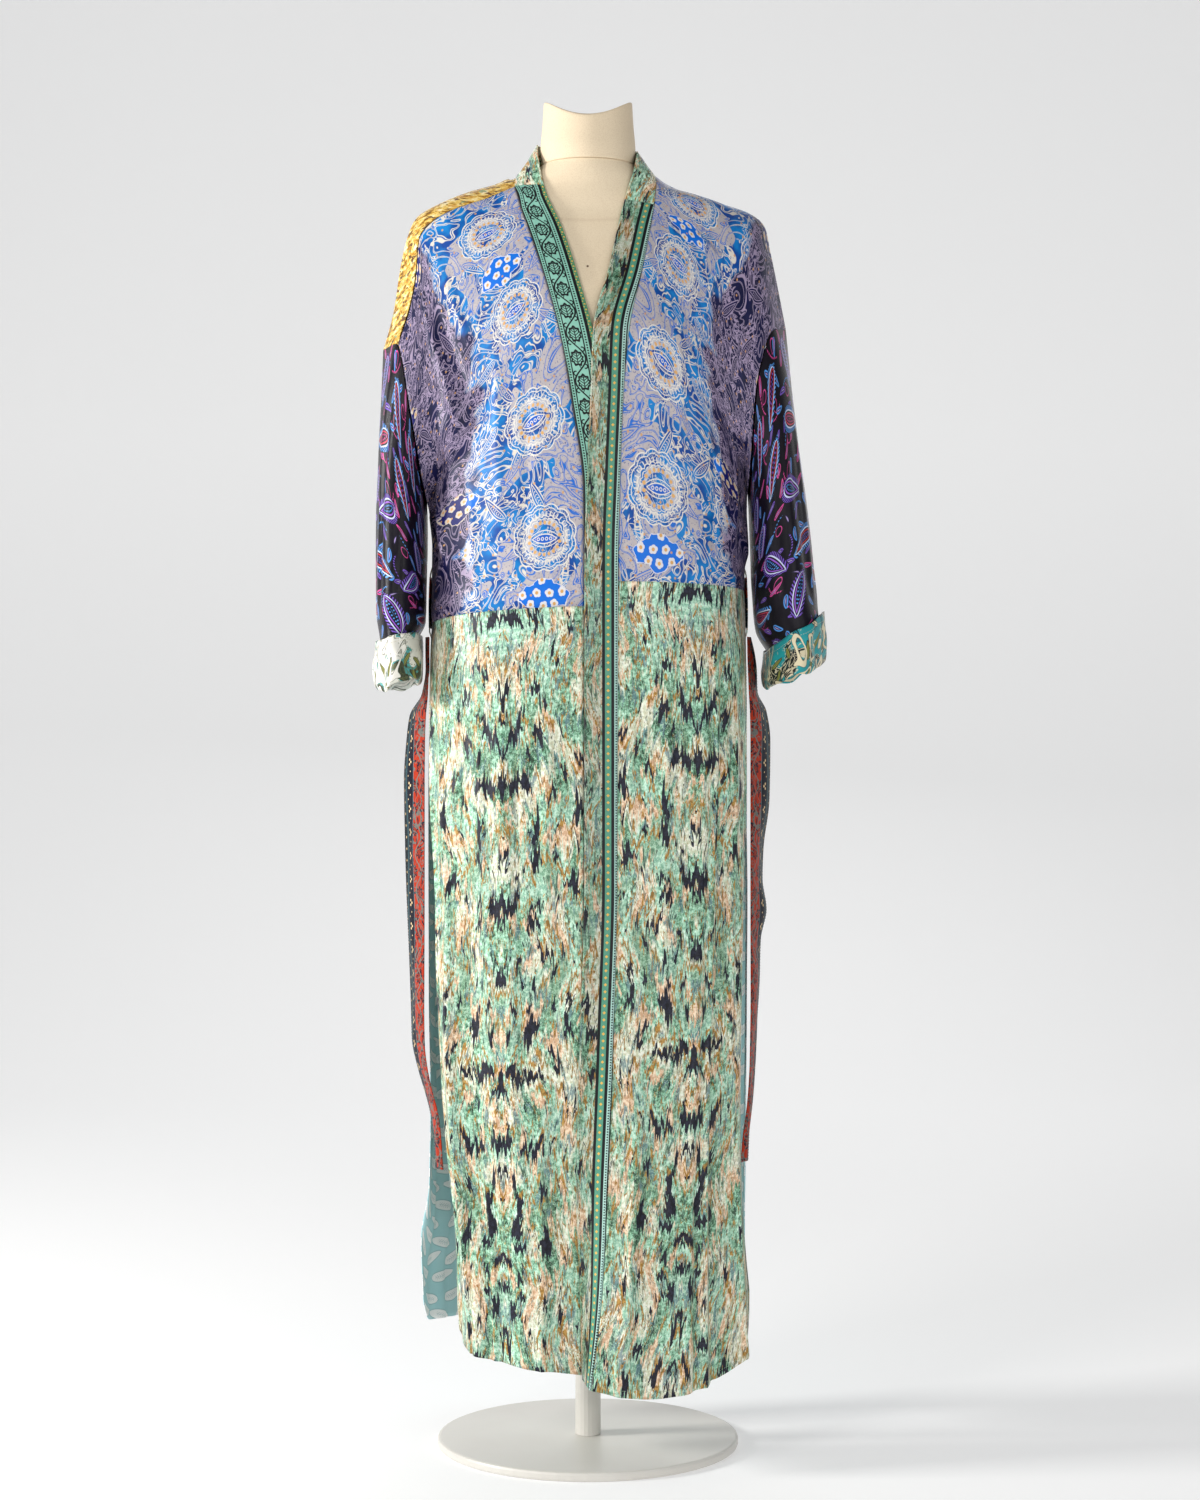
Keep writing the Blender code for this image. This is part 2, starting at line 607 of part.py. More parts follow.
def section(start, end, station, across):
    """A level section's point between its two ends, turning as it nears the second."""
    turn = math.radians(TURN.at(station, "degrees"))
    sideways = math.sin(across * turn) / math.sin(turn)
    inward = ((1 - math.cos(across * turn)) / (1 - math.cos(turn))) ** TURN.at(station, "flatness")
    return Vector((mix(start.x, end.x, sideways), mix(start.y, end.y, inward), mix(start.z, end.z, across**1.4)))


def neck_gap(station):
    """The gap at the band's seam, wider round the neck where the band stands up from the panel."""
    return mix(NECKLINE_GAP, SEAM_GAP, ease(station, 0.0, 0.35))


def hem_rise(panel, across, station):
    """How far the lower edge departs from the straight line between its ends, fading up the panel."""
    across = abs(across)
    start, radius = HEM_CORNER[panel]
    rise = HEM_LINE[panel].at(across, "z")
    if across > start:
        share = (across - start) / (1 - start)
        rise += radius * (1 - math.sqrt(max(0.0, 1 - share * share)))
    level = (HEM_LINE[panel].at(1.0, "z") + radius) * across**1.4
    return (rise - level) * ease(station, WAIST, HEM) ** 1.5


def front_point(side, across, station):
    """A point of a front, from the band (0) to the side (1) and from shoulder (0) to hem (3)."""
    band = BAND[side]
    edge = band.point(station, "x_out", "y_out", "z_out")
    inner = band.point(station, "x_in", "y_in", "z_in")
    edge += (edge - inner).normalized() * neck_gap(station)
    end = side_point(side, "front", station)
    point = section(edge, end, station, across)
    shoulder = SHOULDER_LINE[side]
    top = shoulder.point(across, "x", "y", "z")
    first = shoulder.point(0, "x", "y", "z")
    last = shoulder.point(1, "x", "y", "z")
    for end_point in (top, first, last):
        end_point.x *= SIGN[side]
    top += (edge - first) * (1 - across) + (end - last) * across
    top.y -= SHOULDER_SEAM_GAP / 2
    point = top.lerp(point, ease(station, 0.0, 0.5))
    panel = "front_" + side
    point = folded(point, panel, across, station)
    if station > WAIST:
        point.z += hem_rise(panel, across, station)
    return clear_of_form(point)


def neckline(side, share):
    """The back's neck edge from centre back (0) to the shoulder seam (1), a gap below the band."""
    band = BAND[side]
    station = mix(BACK_NECK, SHOULDER, share)
    edge = band.point(station, "x_out", "y_out", "z_out")
    inner = band.point(station, "x_in", "y_in", "z_in")
    return edge + (edge - inner).normalized() * neck_gap(station)


def back_point(across, station):
    """A point of the back, from the wearer's right side (-1) over the centre (0) to the left side (1)."""
    side = "right" if across < 0 else "left"
    reach = abs(across)
    centre = Vector((0, BACK_CENTRE.at(station, "y"), BACK_CENTRE.at(station, "z")))
    end = side_point(side, "back", station)
    point = section(centre, end, station, reach)
    neck_share = NECK_COLUMNS / HALF_BACK_COLUMNS
    shoulder = SHOULDER_LINE[side]
    behind_neck = shoulder.point(0, "x_behind", "y_behind", "z_behind")
    if reach < neck_share:
        share = reach / neck_share
        top = neckline(side, share)
        quarter = share * math.pi / 2
        height = mix(NECK_FOOT_HEIGHT, behind_neck.z, share**2)
        row = Vector((SIGN[side] * behind_neck.x * math.sin(quarter), 0, height))
        row.y = mix(behind_neck.y, NECK_FOOT_DEPTH, math.cos(quarter))
    else:
        along = (reach - neck_share) / (1 - neck_share)
        top = shoulder.point(along, "x", "y", "z")
        first = shoulder.point(0, "x", "y", "z")
        row = shoulder.point(along, "x_behind", "y_behind", "z_behind")
        for seam_point in (top, first, row):
            seam_point.x *= SIGN[side]
        top += (neckline(side, 1.0) - first) * (1 - along)
        top.y += SHOULDER_SEAM_GAP / 2
    row_end = side_point(side, "back", BEHIND_SEAM)
    last = shoulder.point(1, "x_behind", "y_behind", "z_behind")
    last.x *= SIGN[side]
    row += (row_end - last) * max(0.0, (reach - neck_share) / (1 - neck_share)) ** 2
    if station < BEHIND_SEAM:
        point = top.lerp(row, station / BEHIND_SEAM)
        point.z += SHOULDER_WRAP_UP[side] * math.sin(math.pi * station / BEHIND_SEAM)
    else:
        point = row.lerp(point, ease(station, BEHIND_SEAM, SHOULDER_BLEND_END))
        share = min(1.0, (station - BEHIND_SEAM) / (SHOULDER_ROUND_END - BEHIND_SEAM))
        round_over = math.sin(math.pi * share) * (1 - reach**3)
        point.y += SHOULDER_ROUND_BACK * round_over
        point.z += SHOULDER_ROUND_UP[side] * round_over
    if station < SHOULDER_BLEND_END and reach > 0.999:
        point = end
    point = folded(point, "back", across, station)
    if station > WAIST:
        point.z += hem_rise("back", across, station)
    return clear_of_form(point)


def new_material(name):
    colour, roughness, metallic = FINISHES[name]
    material = bpy.data.materials.new(name)
    material.use_nodes = True
    shader = material.node_tree.nodes["Principled BSDF"]
    shader.inputs["Base Color"].default_value = (*colour, 1.0)
    shader.inputs["Roughness"].default_value = roughness
    shader.inputs["Metallic"].default_value = metallic
    material.diffuse_color = (*colour, 1.0)
    return material


def add_object(name, mesh, finish):
    """Puts a finished mesh in the robe's collection with its own material."""
    mesh.materials.append(new_material(finish) if finish not in bpy.data.materials else bpy.data.materials[finish])
    obj = bpy.data.objects.new(name, mesh)
    PARTS.objects.link(obj)
    return obj


def loft(name, finish, point_at, columns, rows, wall=None, axis=(0.0, 0.0), tube=False):
    """A grid mapped through point_at(column, row), with a wall outwards from the axis if it is cloth."""
    bm = bmesh.new()
    bmesh.ops.create_grid(bm, x_segments=len(columns) - 1, y_segments=len(rows) - 1, size=1)
    for vert in bm.verts:
        column = round((vert.co.x + 1) / 2 * (len(columns) - 1))
        row = round((vert.co.y + 1) / 2 * (len(rows) - 1))
        vert.co = point_at(columns[column], rows[row])
    bmesh.ops.remove_doubles(bm, verts=bm.verts, dist=0.00002)
    if tube and wall is None:
        edges = [edge for edge in bm.edges if edge.is_boundary]
        bmesh.ops.holes_fill(bm, edges=edges, sides=0)
    bm.normal_update()
    facing = 0.0
    for face in bm.faces:
        middle = face.calc_center_median()
        facing += face.calc_area() * (
            face.normal.x * (middle.x - axis[0]) + face.normal.y * (middle.y - axis[1])
        )
    if facing < 0:
        bmesh.ops.reverse_faces(bm, faces=bm.faces)
    mesh = bpy.data.meshes.new(name)
    bm.to_mesh(mesh)
    bm.free()
    mesh.shade_smooth()
    obj = add_object(name, mesh, finish)
    if wall is not None:
        solidify = obj.modifiers.new("wall", "SOLIDIFY")
        solidify.thickness = wall
        solidify.offset = 1.0
    return obj


def make_fronts():
    """The blue upper and the green lower panel of each front, which meet in the waist seam."""
    upper = list(ARM_ROWS["front"]) + spaced(UNDERARM, WAIST, WAIST_ROWS)[1:]
    upper[0] = SHOULDER_CLEAR
    upper[-1] = WAIST - WAIST_CLEAR_ABOVE
    lower = spaced(WAIST, HEM, SKIRT_ROWS)
    lower[0] = WAIST + WAIST_CLEAR_BELOW
    for side in SIGN:
        place = lambda across, station, side=side: front_point(side, across, station)
        loft("front_upper_" + side, "blue_paisley", place, FRONT_COLUMNS, upper, CLOTH_WALL)
        loft("front_lower_" + side, "green_ikat", place, FRONT_COLUMNS, lower, CLOTH_WALL)


def make_back():
    """The gold upper back, which reaches over the right shoulder, and the teal lower back."""
    columns = spaced(-1.0, 1.0, 2 * HALF_BACK_COLUMNS)
    upper = list(ARM_ROWS["back"]) + spaced(UNDERARM, WAIST, WAIST_ROWS)[1:]
    upper[-1] = WAIST - WAIST_CLEAR_ABOVE
    lower = spaced(WAIST, HEM, SKIRT_ROWS)
    lower[0] = WAIST + WAIST_CLEAR_BELOW
    loft("back_upper", "gold_mottle", back_point, columns, upper, CLOTH_WALL)
    loft("back_lower", "teal_paisley", back_point, columns, lower, CLOTH_WALL)


def band_point(side, across, station):
    """A point of the neckband, from its free edge (0) to its seam (1), slightly crowned."""
    band = BAND[side]
    inner = band.point(station, "x_in", "y_in", "z_in")
    outer = band.point(station, "x_out", "y_out", "z_out")
    point = inner.lerp(outer, across)
    point += outward(point) * 0.0008 * (1 - (2 * across - 1) ** 2)
    return clear_of_form(point)


def make_bands():
    """The neckband: a vine-border length, a striped length and the stretch behind the neck."""
    across = spaced(0.0, 1.0, BAND_COLUMNS)
    front = list(ARM_ROWS["front"]) + spaced(UNDERARM, WAIST, WAIST_ROWS)[1:]
    front += spaced(WAIST, HEM, SKIRT_ROWS)[1:]
    join = {"right": SHOULDER, "left": front[BAND_JOIN_ROW]}
    for side, finish in (("right", "vine_border"), ("left", "striped_border")):
        stations = [station for station in front if station >= join[side]]
        stations[0] += BAND_JOIN_GAP
        place = lambda part, station, side=side: band_point(side, part, station)
        loft("band_" + side, finish, place, across, stations, BAND_WALL)
    right = spaced(SHOULDER, BACK_NECK, NECK_ROWS)
    left = spaced(BACK_NECK, SHOULDER, NECK_ROWS)[1:] + [station for station in front if 0 < station <= join["left"]]
    path = [("right", station) for station in right] + [("left", station) for station in left]
    loft(
        "band_neck",
        "green_ikat",
        lambda part, place: band_point(place[0], part, place[1]),
        across,
        path,
        BAND_WALL,
    )


def ring_angles(side):
    """The armhole angles round a sleeve, at the same places as the rows of the front and back."""
    front = [arm_angle(side, "front", station) for station in ARM_ROWS["front"]]
    back = [arm_angle(side, "back", station) for station in ARM_ROWS["back"]]
    return front[::-1] + back[1:]


def sleeve_point(side, angle, along):
    """A point of the sleeve, from the armhole (0) to its lower end (1)."""
    table = SLEEVE[side]
    turn = math.radians(angle)
    level = math.cos(turn)
    reach = table.at(along, "half_width") * math.copysign(abs(level) ** 0.85, level)
    depth = table.at(along, "half_depth") * math.sin(turn)
    height = 0.0
    for middle, width, rise, start, end in SLEEVE_FOLDS[side]:
        fade = ease(along, start, start + 0.2) * (1 - ease(along, end - 0.2, end))
        height += rise * fade * math.exp(-(((angle - middle) / width) ** 2))
    centre_y = table.at(along, "y")
    depth += math.copysign(height, depth) if abs(depth) > 1e-9 else 0.0
    x = SIGN[side] * (table.at(along, "x") + reach)
    ring = Vector((x, centre_y + depth, table.at(along, "z") + table.at(along, "tilt") * level))
    seam = armhole(side, angle)
    under = ((1 - level) / 2) ** 3
    seam.x += SIGN[side] * (0.0013 * abs(math.sin(turn)) + 0.0036 * under)
    seam.z -= SEAM_GAP * max(0.0, level) + 0.0008 * under
    return seam.lerp(ring, ease(along, 0.0, 0.36))


def make_sleeves():
    for side in SIGN:
        place = lambda angle, along, side=side: sleeve_point(side, angle, along)
        rows = spaced(0.0, 1.0, SLEEVE_ROWS)
        axis = (SIGN[side] * 0.2, 0.0)
        loft("sleeve_" + side, "night_paisley", place, ring_angles(side), rows, CLOTH_WALL, axis, tube=True)


def cuff_point(side, angle, row):
    """A point of the turned-back cuff: down inside the sleeve's end, round the fold and up outside it."""
    table = SLEEVE[side]
    drop, out = CUFF_PATH[row]
    turn = math.radians(angle)
    level = math.cos(turn)
    drop *= CUFF_HEIGHT[side]
    fall = max(0.0, drop) / CUFF_DEEPEST
    wide, tall = 0.0, 0.0
    for count, start, spread, lift in CUFF_WAVES[side]:
        wave = math.sin(count * turn + math.radians(start))
        wide += spread * wave
        tall += lift * wave
    swing = ease(drop, 0.004, 0.030)
    if row > 4:
        swing = mix(0.35, 1.0, swing)
    half_width = table.at(1.0, "half_width") + out
    half_depth = table.at(1.0, "half_depth") + out
    reach = half_width * math.copysign(abs(level) ** 0.85, level)
    x = table.at(1.0, "x") + reach + wide * level * swing
    y = table.at(1.0, "y") + (half_depth + wide * swing) * math.sin(turn)
    z = table.at(1.0, "z") + table.at(1.0, "tilt") * level - drop - CUFF_GAP
    z += tall * swing * 0.7 + CUFF_LEAN[side] * level * fall
    return Vector((SIGN[side] * x, y, z))


def make_cuffs():
    for side in SIGN:
        place = lambda angle, row, side=side: cuff_point(side, angle, row)
        angles = spaced(-180.0, 180.0, CUFF_SEGMENTS)
        axis = (SIGN[side] * SLEEVE[side].at(1.0, "x"), 0.0)
        cuff = loft("cuff_" + side, "cream_scroll", place, angles, range(len(CUFF_PATH)), CUFF_WALL, axis, True)
        cuff.modifiers["wall"].offset = 0.0


def back_at_height(across, height):
    """The back's point across at a height, found by halving between two stations."""
    low, high = 1.2, 2.4
    for _ in range(30):
        middle = (low + high) / 2
        if back_point(across, middle).z > height:
            low = middle
        else:
            high = middle
    return back_point(across, (low + high) / 2)


def make_sash():
    """The sash: across the back under the belt loops, then an end hanging at each side."""

    def on_back(across, height):
        point = back_at_height(across, height)
        return point + outward(point) * SASH_OFF_BACK

    loft(
        "sash_back",
        "rust_sash",
        on_back,
        spaced(-1.0, 1.0, 2 * HALF_BACK_COLUMNS),
        spaced(SASH_LOW, SASH_HIGH, SASH_ROWS),
        SASH_WALL,
    )
    for side in SIGN:
        table = SASH_END[side]

        def hanging(across, height, side=side, table=table):
            x = mix(table.at(height, "x_front"), table.at(height, "x_rear"), across)
            y = mix(table.at(height, "y_front"), table.at(height, "y_rear"), across)
            x += SASH_CURL * math.sin(across * math.pi)
            return Vector((SIGN[side] * x, y, height))

        heights = spaced(table.keys[0], table.keys[-1], SASH_END_ROWS)
        loft("sash_end_" + side, "rust_sash", hanging, spaced(0, 1, SASH_END_COLUMNS_ACROSS), heights, SASH_WALL)


def back_at_depth(side, depth, height):
    """The back's point near the side seam at a depth and a height, found by halving across."""
    low, high = 0.6, 1.0
    for _ in range(20):
        middle = (low + high) / 2
        if back_at_height(SIGN[side] * middle, height).y > depth:
            low = middle
        else:
            high = middle
    return back_at_height(SIGN[side] * low, height)


def make_loops():
    """A narrow loop at each side seam, over the sash."""
    stations = (
        (LOOP_HIGH, LOOP_FOOT),
        (LOOP_HIGH - 0.005, LOOP_OFF * 0.7),
        (LOOP_HIGH - 0.012, LOOP_OFF),
        ((LOOP_HIGH + LOOP_LOW) / 2, LOOP_OFF),
        (LOOP_LOW + 0.010, LOOP_OFF),
        (LOOP_LOW + 0.004, LOOP_OFF * 0.7),
        (LOOP_LOW, LOOP_FOOT),
    )
    for side in SIGN:

        def arch(width, row, side=side):
            height, off = stations[row]
            body = back_at_depth(side, LOOP_CENTRE, height)
            return Vector((body.x + SIGN[side] * off, LOOP_CENTRE + width, height))

        widths = (-LOOP_HALF_WIDTH, LOOP_HALF_WIDTH)
        loft("sash_loop_" + side, "green_ikat", arch, widths, range(len(stations)), LOOP_WALL)


def make_form():
    """The dress form: a closed torso, and the scooped neck above its seam."""

    def torso(angle, height):
        turn = math.radians(angle)
        depth = FORM.at(height, "front" if math.sin(turn) < 0 else "back")
        return Vector((FORM.at(height, "half_width") * math.cos(turn), depth * math.sin(turn), height))

    def neck(angle, row):
        turn = math.radians(angle)
        rise, reach = row
        radius = NECK.at(rise, "half_width") * reach
        rim = NECK_SIDE_TOP - NECK_SCOOP * math.sin(turn) ** 2
        middle = NECK_SIDE_TOP - NECK_SCOOP / 2 - NECK_MIDDLE_DIP
        top = mix(middle, rim, reach**2)
        height = mix(NECK_SEAM_HEIGHT, top, rise)
        return Vector((radius * math.cos(turn), radius * math.sin(turn), height))

    heights = list(FORM.keys)
    angles = spaced(0.0, 360.0, 28)
    loft("form_torso", "form_jersey", torso, angles, heights, tube=True)
    rows = ((0.0, 1.0), (0.3, 1.0), (0.65, 1.0), (0.95, 1.0), (1.0, 0.97), (1.0, 0.6), (1.0, 0.0))
    loft("form_neck", "form_jersey", neck, angles, rows, tube=True)


def make_stand():
    """A steel disc on the floor and the pole that carries the form."""
    for name, radius, low, high, sides in (
        ("stand_base", BASE_RADIUS, 0.0, BASE_HEIGHT, 64),
        ("stand_pole", POLE_RADIUS, BASE_HEIGHT + 0.0003, STAND_TOP - 0.0003, 20),
    ):
        bm = bmesh.new()
        bmesh.ops.create_cone(
            bm, cap_ends=True, segments=sides, radius1=radius, radius2=radius, depth=high - low
        )
        bmesh.ops.translate(bm, verts=bm.verts, vec=(0, 0, (high + low) / 2))
        mesh = bpy.data.meshes.new(name)
        bm.to_mesh(mesh)
        bm.free()
        obj = add_object(name, mesh, "stand_enamel")
        if name == "stand_base":
            bevel = obj.modifiers.new("rounded rim", "BEVEL")
            bevel.width = 0.003
            bevel.segments = 2
            bevel.limit_method = "ANGLE"


for old in list(bpy.data.objects):
    bpy.data.objects.remove(old)
PARTS = bpy.data.collections.new("kimono_robe")
bpy.context.scene.collection.children.link(PARTS)
make_form()
make_stand()
make_fronts()
make_back()
make_bands()
make_sleeves()
make_cuffs()
make_sash()
make_loops()
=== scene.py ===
# %% [markdown]
# A kimono robe pieced from ten printed cloths, worn open by a dress form. This lesson dresses the finished
# solids of the robe: it lays a fine, creased cloth over each one, prints it, and sews it. It can be read as
# a notebook, one cell at a time, and each cell says first what the real thing is and how it is made here.

# %% Load the frame
import math

import bmesh
import bpy
from mathutils import Matrix, Vector
from mathutils.bvhtree import BVHTree


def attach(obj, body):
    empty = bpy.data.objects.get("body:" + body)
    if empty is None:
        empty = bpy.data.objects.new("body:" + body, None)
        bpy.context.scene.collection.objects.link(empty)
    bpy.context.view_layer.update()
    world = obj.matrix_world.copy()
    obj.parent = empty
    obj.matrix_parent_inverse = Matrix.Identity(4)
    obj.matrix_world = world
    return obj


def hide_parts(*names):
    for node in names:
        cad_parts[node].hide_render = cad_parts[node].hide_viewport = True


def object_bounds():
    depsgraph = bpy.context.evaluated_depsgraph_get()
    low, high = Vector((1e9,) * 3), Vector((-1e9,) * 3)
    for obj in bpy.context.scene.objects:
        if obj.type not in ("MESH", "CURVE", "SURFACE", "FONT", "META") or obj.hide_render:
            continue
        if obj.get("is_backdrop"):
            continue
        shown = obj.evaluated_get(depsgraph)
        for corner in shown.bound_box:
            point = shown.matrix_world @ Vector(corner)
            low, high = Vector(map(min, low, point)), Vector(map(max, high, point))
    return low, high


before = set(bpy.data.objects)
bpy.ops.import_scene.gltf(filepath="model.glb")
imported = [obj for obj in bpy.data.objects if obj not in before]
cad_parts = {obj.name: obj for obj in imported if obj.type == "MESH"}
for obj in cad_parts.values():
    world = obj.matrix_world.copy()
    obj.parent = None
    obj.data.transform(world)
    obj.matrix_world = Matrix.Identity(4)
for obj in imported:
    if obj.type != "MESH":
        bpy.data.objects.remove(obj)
cad_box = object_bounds()
print("solids to dress:", len(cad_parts))

# %% [markdown]
# The camera comes first. The photograph looks level at the middle of the robe from about three metres. At
# that distance one of its pixels is 1.1 mm of cloth, which gives the lens. The camera stands a little to
# one side, so no lens shift is needed.

# %% Camera
PIXEL = 0.0011
PHOTO_HEIGHT = 1500
CAMERA_DISTANCE = 3.0
CAMERA_SIDE = 0.0132
CAMERA_HEIGHT = 0.7617
SENSOR = 36.0

camera_data = bpy.data.cameras.new("photo_camera")
camera_data.sensor_fit = "VERTICAL"
camera_data.sensor_height = SENSOR
camera_data.lens = SENSOR * CAMERA_DISTANCE / (PIXEL * PHOTO_HEIGHT)
camera = bpy.data.objects.new("photo_camera", camera_data)
camera.location = (CAMERA_SIDE, -CAMERA_DISTANCE, CAMERA_HEIGHT)
camera.rotation_euler = (math.radians(90), 0, 0)
bpy.context.scene.collection.objects.link(camera)
bpy.context.scene.camera = camera
print("lens:", round(camera_data.lens, 1), "mm")

# %% [markdown]
# All the cloth hangs from one shared set of seam lines, so that neighbouring pieces meet. A seam line is a
# short table of places on the body. Reading a table between its rows needs a curve that passes through each
# row and never overshoots, because an overshoot would show as a ripple in the cloth.

# %% Tables that read as smooth curves
class Table:
    """Rows of named columns, read at any key along one smooth curve through the rows."""

    def __init__(self, columns, rows):
        self.keys = [row[0] for row in rows]
        self.values = {name: [row[i] for row in rows] for i, name in enumerate(columns)}
        self.slopes = {name: self.even_slopes(values) for name, values in self.values.items()}

    def even_slopes(self, values):
        """Slopes at the rows that never overshoot a row's value."""
        count = len(self.keys)
        steps = [self.keys[i + 1] - self.keys[i] for i in range(count - 1)]
        rises = [(values[i + 1] - values[i]) / steps[i] for i in range(count - 1)]
        slopes = [rises[0]]
        for i in range(1, count - 1):
            if rises[i - 1] * rises[i] <= 0:
                slopes.append(0.0)
                continue
            before = 2 * steps[i] + steps[i - 1]
            after = steps[i] + 2 * steps[i - 1]
            slopes.append((before + after) / (before / rises[i - 1] + after / rises[i]))
        slopes.append(rises[-1])
        return slopes

    def at(self, key, name):
        """The named column's value at a key, held at its end values outside the table."""
        keys, values, slopes = self.keys, self.values[name], self.slopes[name]
        if key <= keys[0]:
            return values[0]
        if key >= keys[-1]:
            return values[-1]
        i = max(k for k in range(len(keys) - 1) if keys[k] <= key)
        step = keys[i + 1] - keys[i]
        t = (key - keys[i]) / step
        low = (1 + 2 * t) * (1 - t) ** 2 * values[i] + t * (1 - t) ** 2 * step * slopes[i]
        high = t * t * (3 - 2 * t) * values[i + 1] + t * t * (t - 1) * step * slopes[i + 1]
        return low + high

    def point(self, key, suffix=""):
        """The columns x, y and z with a suffix, as a point."""
        return Vector([self.at(key, axis + suffix) for axis in "xyz"])


def both_sides(columns, right, left):
    """A table for each side of the wearer."""
    return {"right": Table(columns, right), "left": Table(columns, left)}


def ease(value, start, end):
    """0 before start, 1 after end, and a smooth step between them."""
    t = min(1.0, max(0.0, (value - start) / (end - start)))
    return t * t * (3 - 2 * t)


def mix(first, second, share):
    return first * (1 - share) + second * share


def span(value, start, end, soft):
    """1 between start and end, easing in and out over a soft length."""
    return ease(value, start, start + soft) * (1 - ease(value, end - soft, end))


def spaced(start, end, steps):
    """Evenly spaced values from start to end, both included."""
    return [start + (end - start) * i / steps for i in range(steps + 1)]


def bisect(is_low, low, high, rounds):
    """Where a test stops holding between two values, found by halving."""
    for _ in range(rounds):
        middle = (low + high) / 2
        if is_low(middle):
            low = middle
        else:
            high = middle
    return low, high

# %% [markdown]
# The robe rests on a dress form, so the form's sections come before the cloth: half its width and its depth
# in front and behind, at each height. Cloth is kept a little clear of it, as a seamstress allows ease.

# %% The dress form's sizes
SEAM_GAP = 0.00035
CHEST_GAP = 0.0022
FORM_GAP = 0.0012
SHOULDER_GAP = 0.0034
NECKLINE_GAP = 0.0006
BUST_HEIGHT = 1.19
NECK_SEAM_HEIGHT = 1.403
SHOULDER_WIDEST = 1.300
SHOULDER_ROUND_BACK = 0.012
SHOULDER_ROUND_UP = {"right": 0.014, "left": 0.008}
SHOULDER_WRAP_UP = {"right": 0.0035, "left": 0.0010}
SHOULDER_SEAM_GAP = 0.0004
SIGN = {"right": -1, "left": 1}

FORM = Table(
    ("height", "half_width", "front", "back"),
    (
        (0.705, 0.146, 0.078, 0.092),
        (0.712, 0.157, 0.087, 0.102),
        (0.73, 0.163, 0.093, 0.108),
        (0.76, 0.165, 0.095, 0.11),
        (0.82, 0.163, 0.094, 0.112),
        (0.9, 0.15, 0.09, 0.102),
        (0.97, 0.133, 0.083, 0.088),
        (1.02, 0.131, 0.083, 0.085),
        (1.1, 0.152, 0.096, 0.09),
        (1.15, 0.167, 0.106, 0.096),
        (1.19, 0.177, 0.1105, 0.1),
        (1.25, 0.184, 0.1, 0.098),
        (1.3, 0.187, 0.08, 0.086),
        (1.328, 0.182, 0.067, 0.071),
        (1.345, 0.17, 0.059, 0.062),
        (1.356, 0.15, 0.056, 0.058),
        (1.365, 0.124, 0.0535, 0.0565),
        (1.3705, 0.104, 0.052, 0.055),
        (1.3795, 0.08, 0.0508, 0.054),
        (1.3865, 0.0705, 0.051, 0.0535),
        (1.393, 0.062, 0.0503, 0.0525),
        (1.398, 0.056, 0.0499, 0.052),
        (1.4027, 0.0515, 0.0495, 0.0515),
    ),
)
NECK = Table(
    ("height", "half_width"),
    ((0.0, 0.0515), (0.25, 0.0522), (0.65, 0.0500), (1.0, 0.0486)),
)
NECK_SIDE_TOP = 1.4735
NECK_SCOOP = 0.0235
NECK_MIDDLE_DIP = 0.004

# %% [markdown]
# Stations count down the robe: 0 is the shoulder seam, 1 the underarm, 2 the waist seam and 3 the hem.
# Behind the neck they run back to -1. The neckband, the shoulder seam, the armholes and the side edges are
# tables of points at such stations, and every panel stretches between two of them.

# %% Seam lines
SHOULDER = 0.0
UNDERARM = 1.0
WAIST = 2.0
HEM = 3.0
BACK_NECK = -1.0
NECK_SHARE = 3 / 11

# The neckband's two edges, keyed by station. Behind the neck it stands up, and down the front it lies flat.
BAND_NECK_ROWS = {
    "right": (
        (-1.0, 0.0, 0.066, 1.434, 0.0, 0.083, 1.392),
        (-0.6, -0.04, 0.055, 1.4335, -0.056, 0.066, 1.3915),
        (-0.35, -0.0548, 0.022, 1.4315, -0.0745, 0.03, 1.3915),
        (-0.15, -0.0548, -0.008, 1.418, -0.0778, -0.004, 1.3895),
    ),
    "left": (
        (-1.0, 0.0, 0.066, 1.434, 0.0, 0.083, 1.392),
        (-0.6, 0.0385, 0.055, 1.43, 0.054, 0.066, 1.391),
        (-0.3, 0.053, 0.024, 1.4255, 0.065, 0.03, 1.3925),
        (0.0, 0.053, -0.006, 1.417, 0.0675, -0.003, 1.3955),
        (0.17, 0.0505, -0.035, 1.396, 0.0735, -0.033, 1.38),
    ),
}
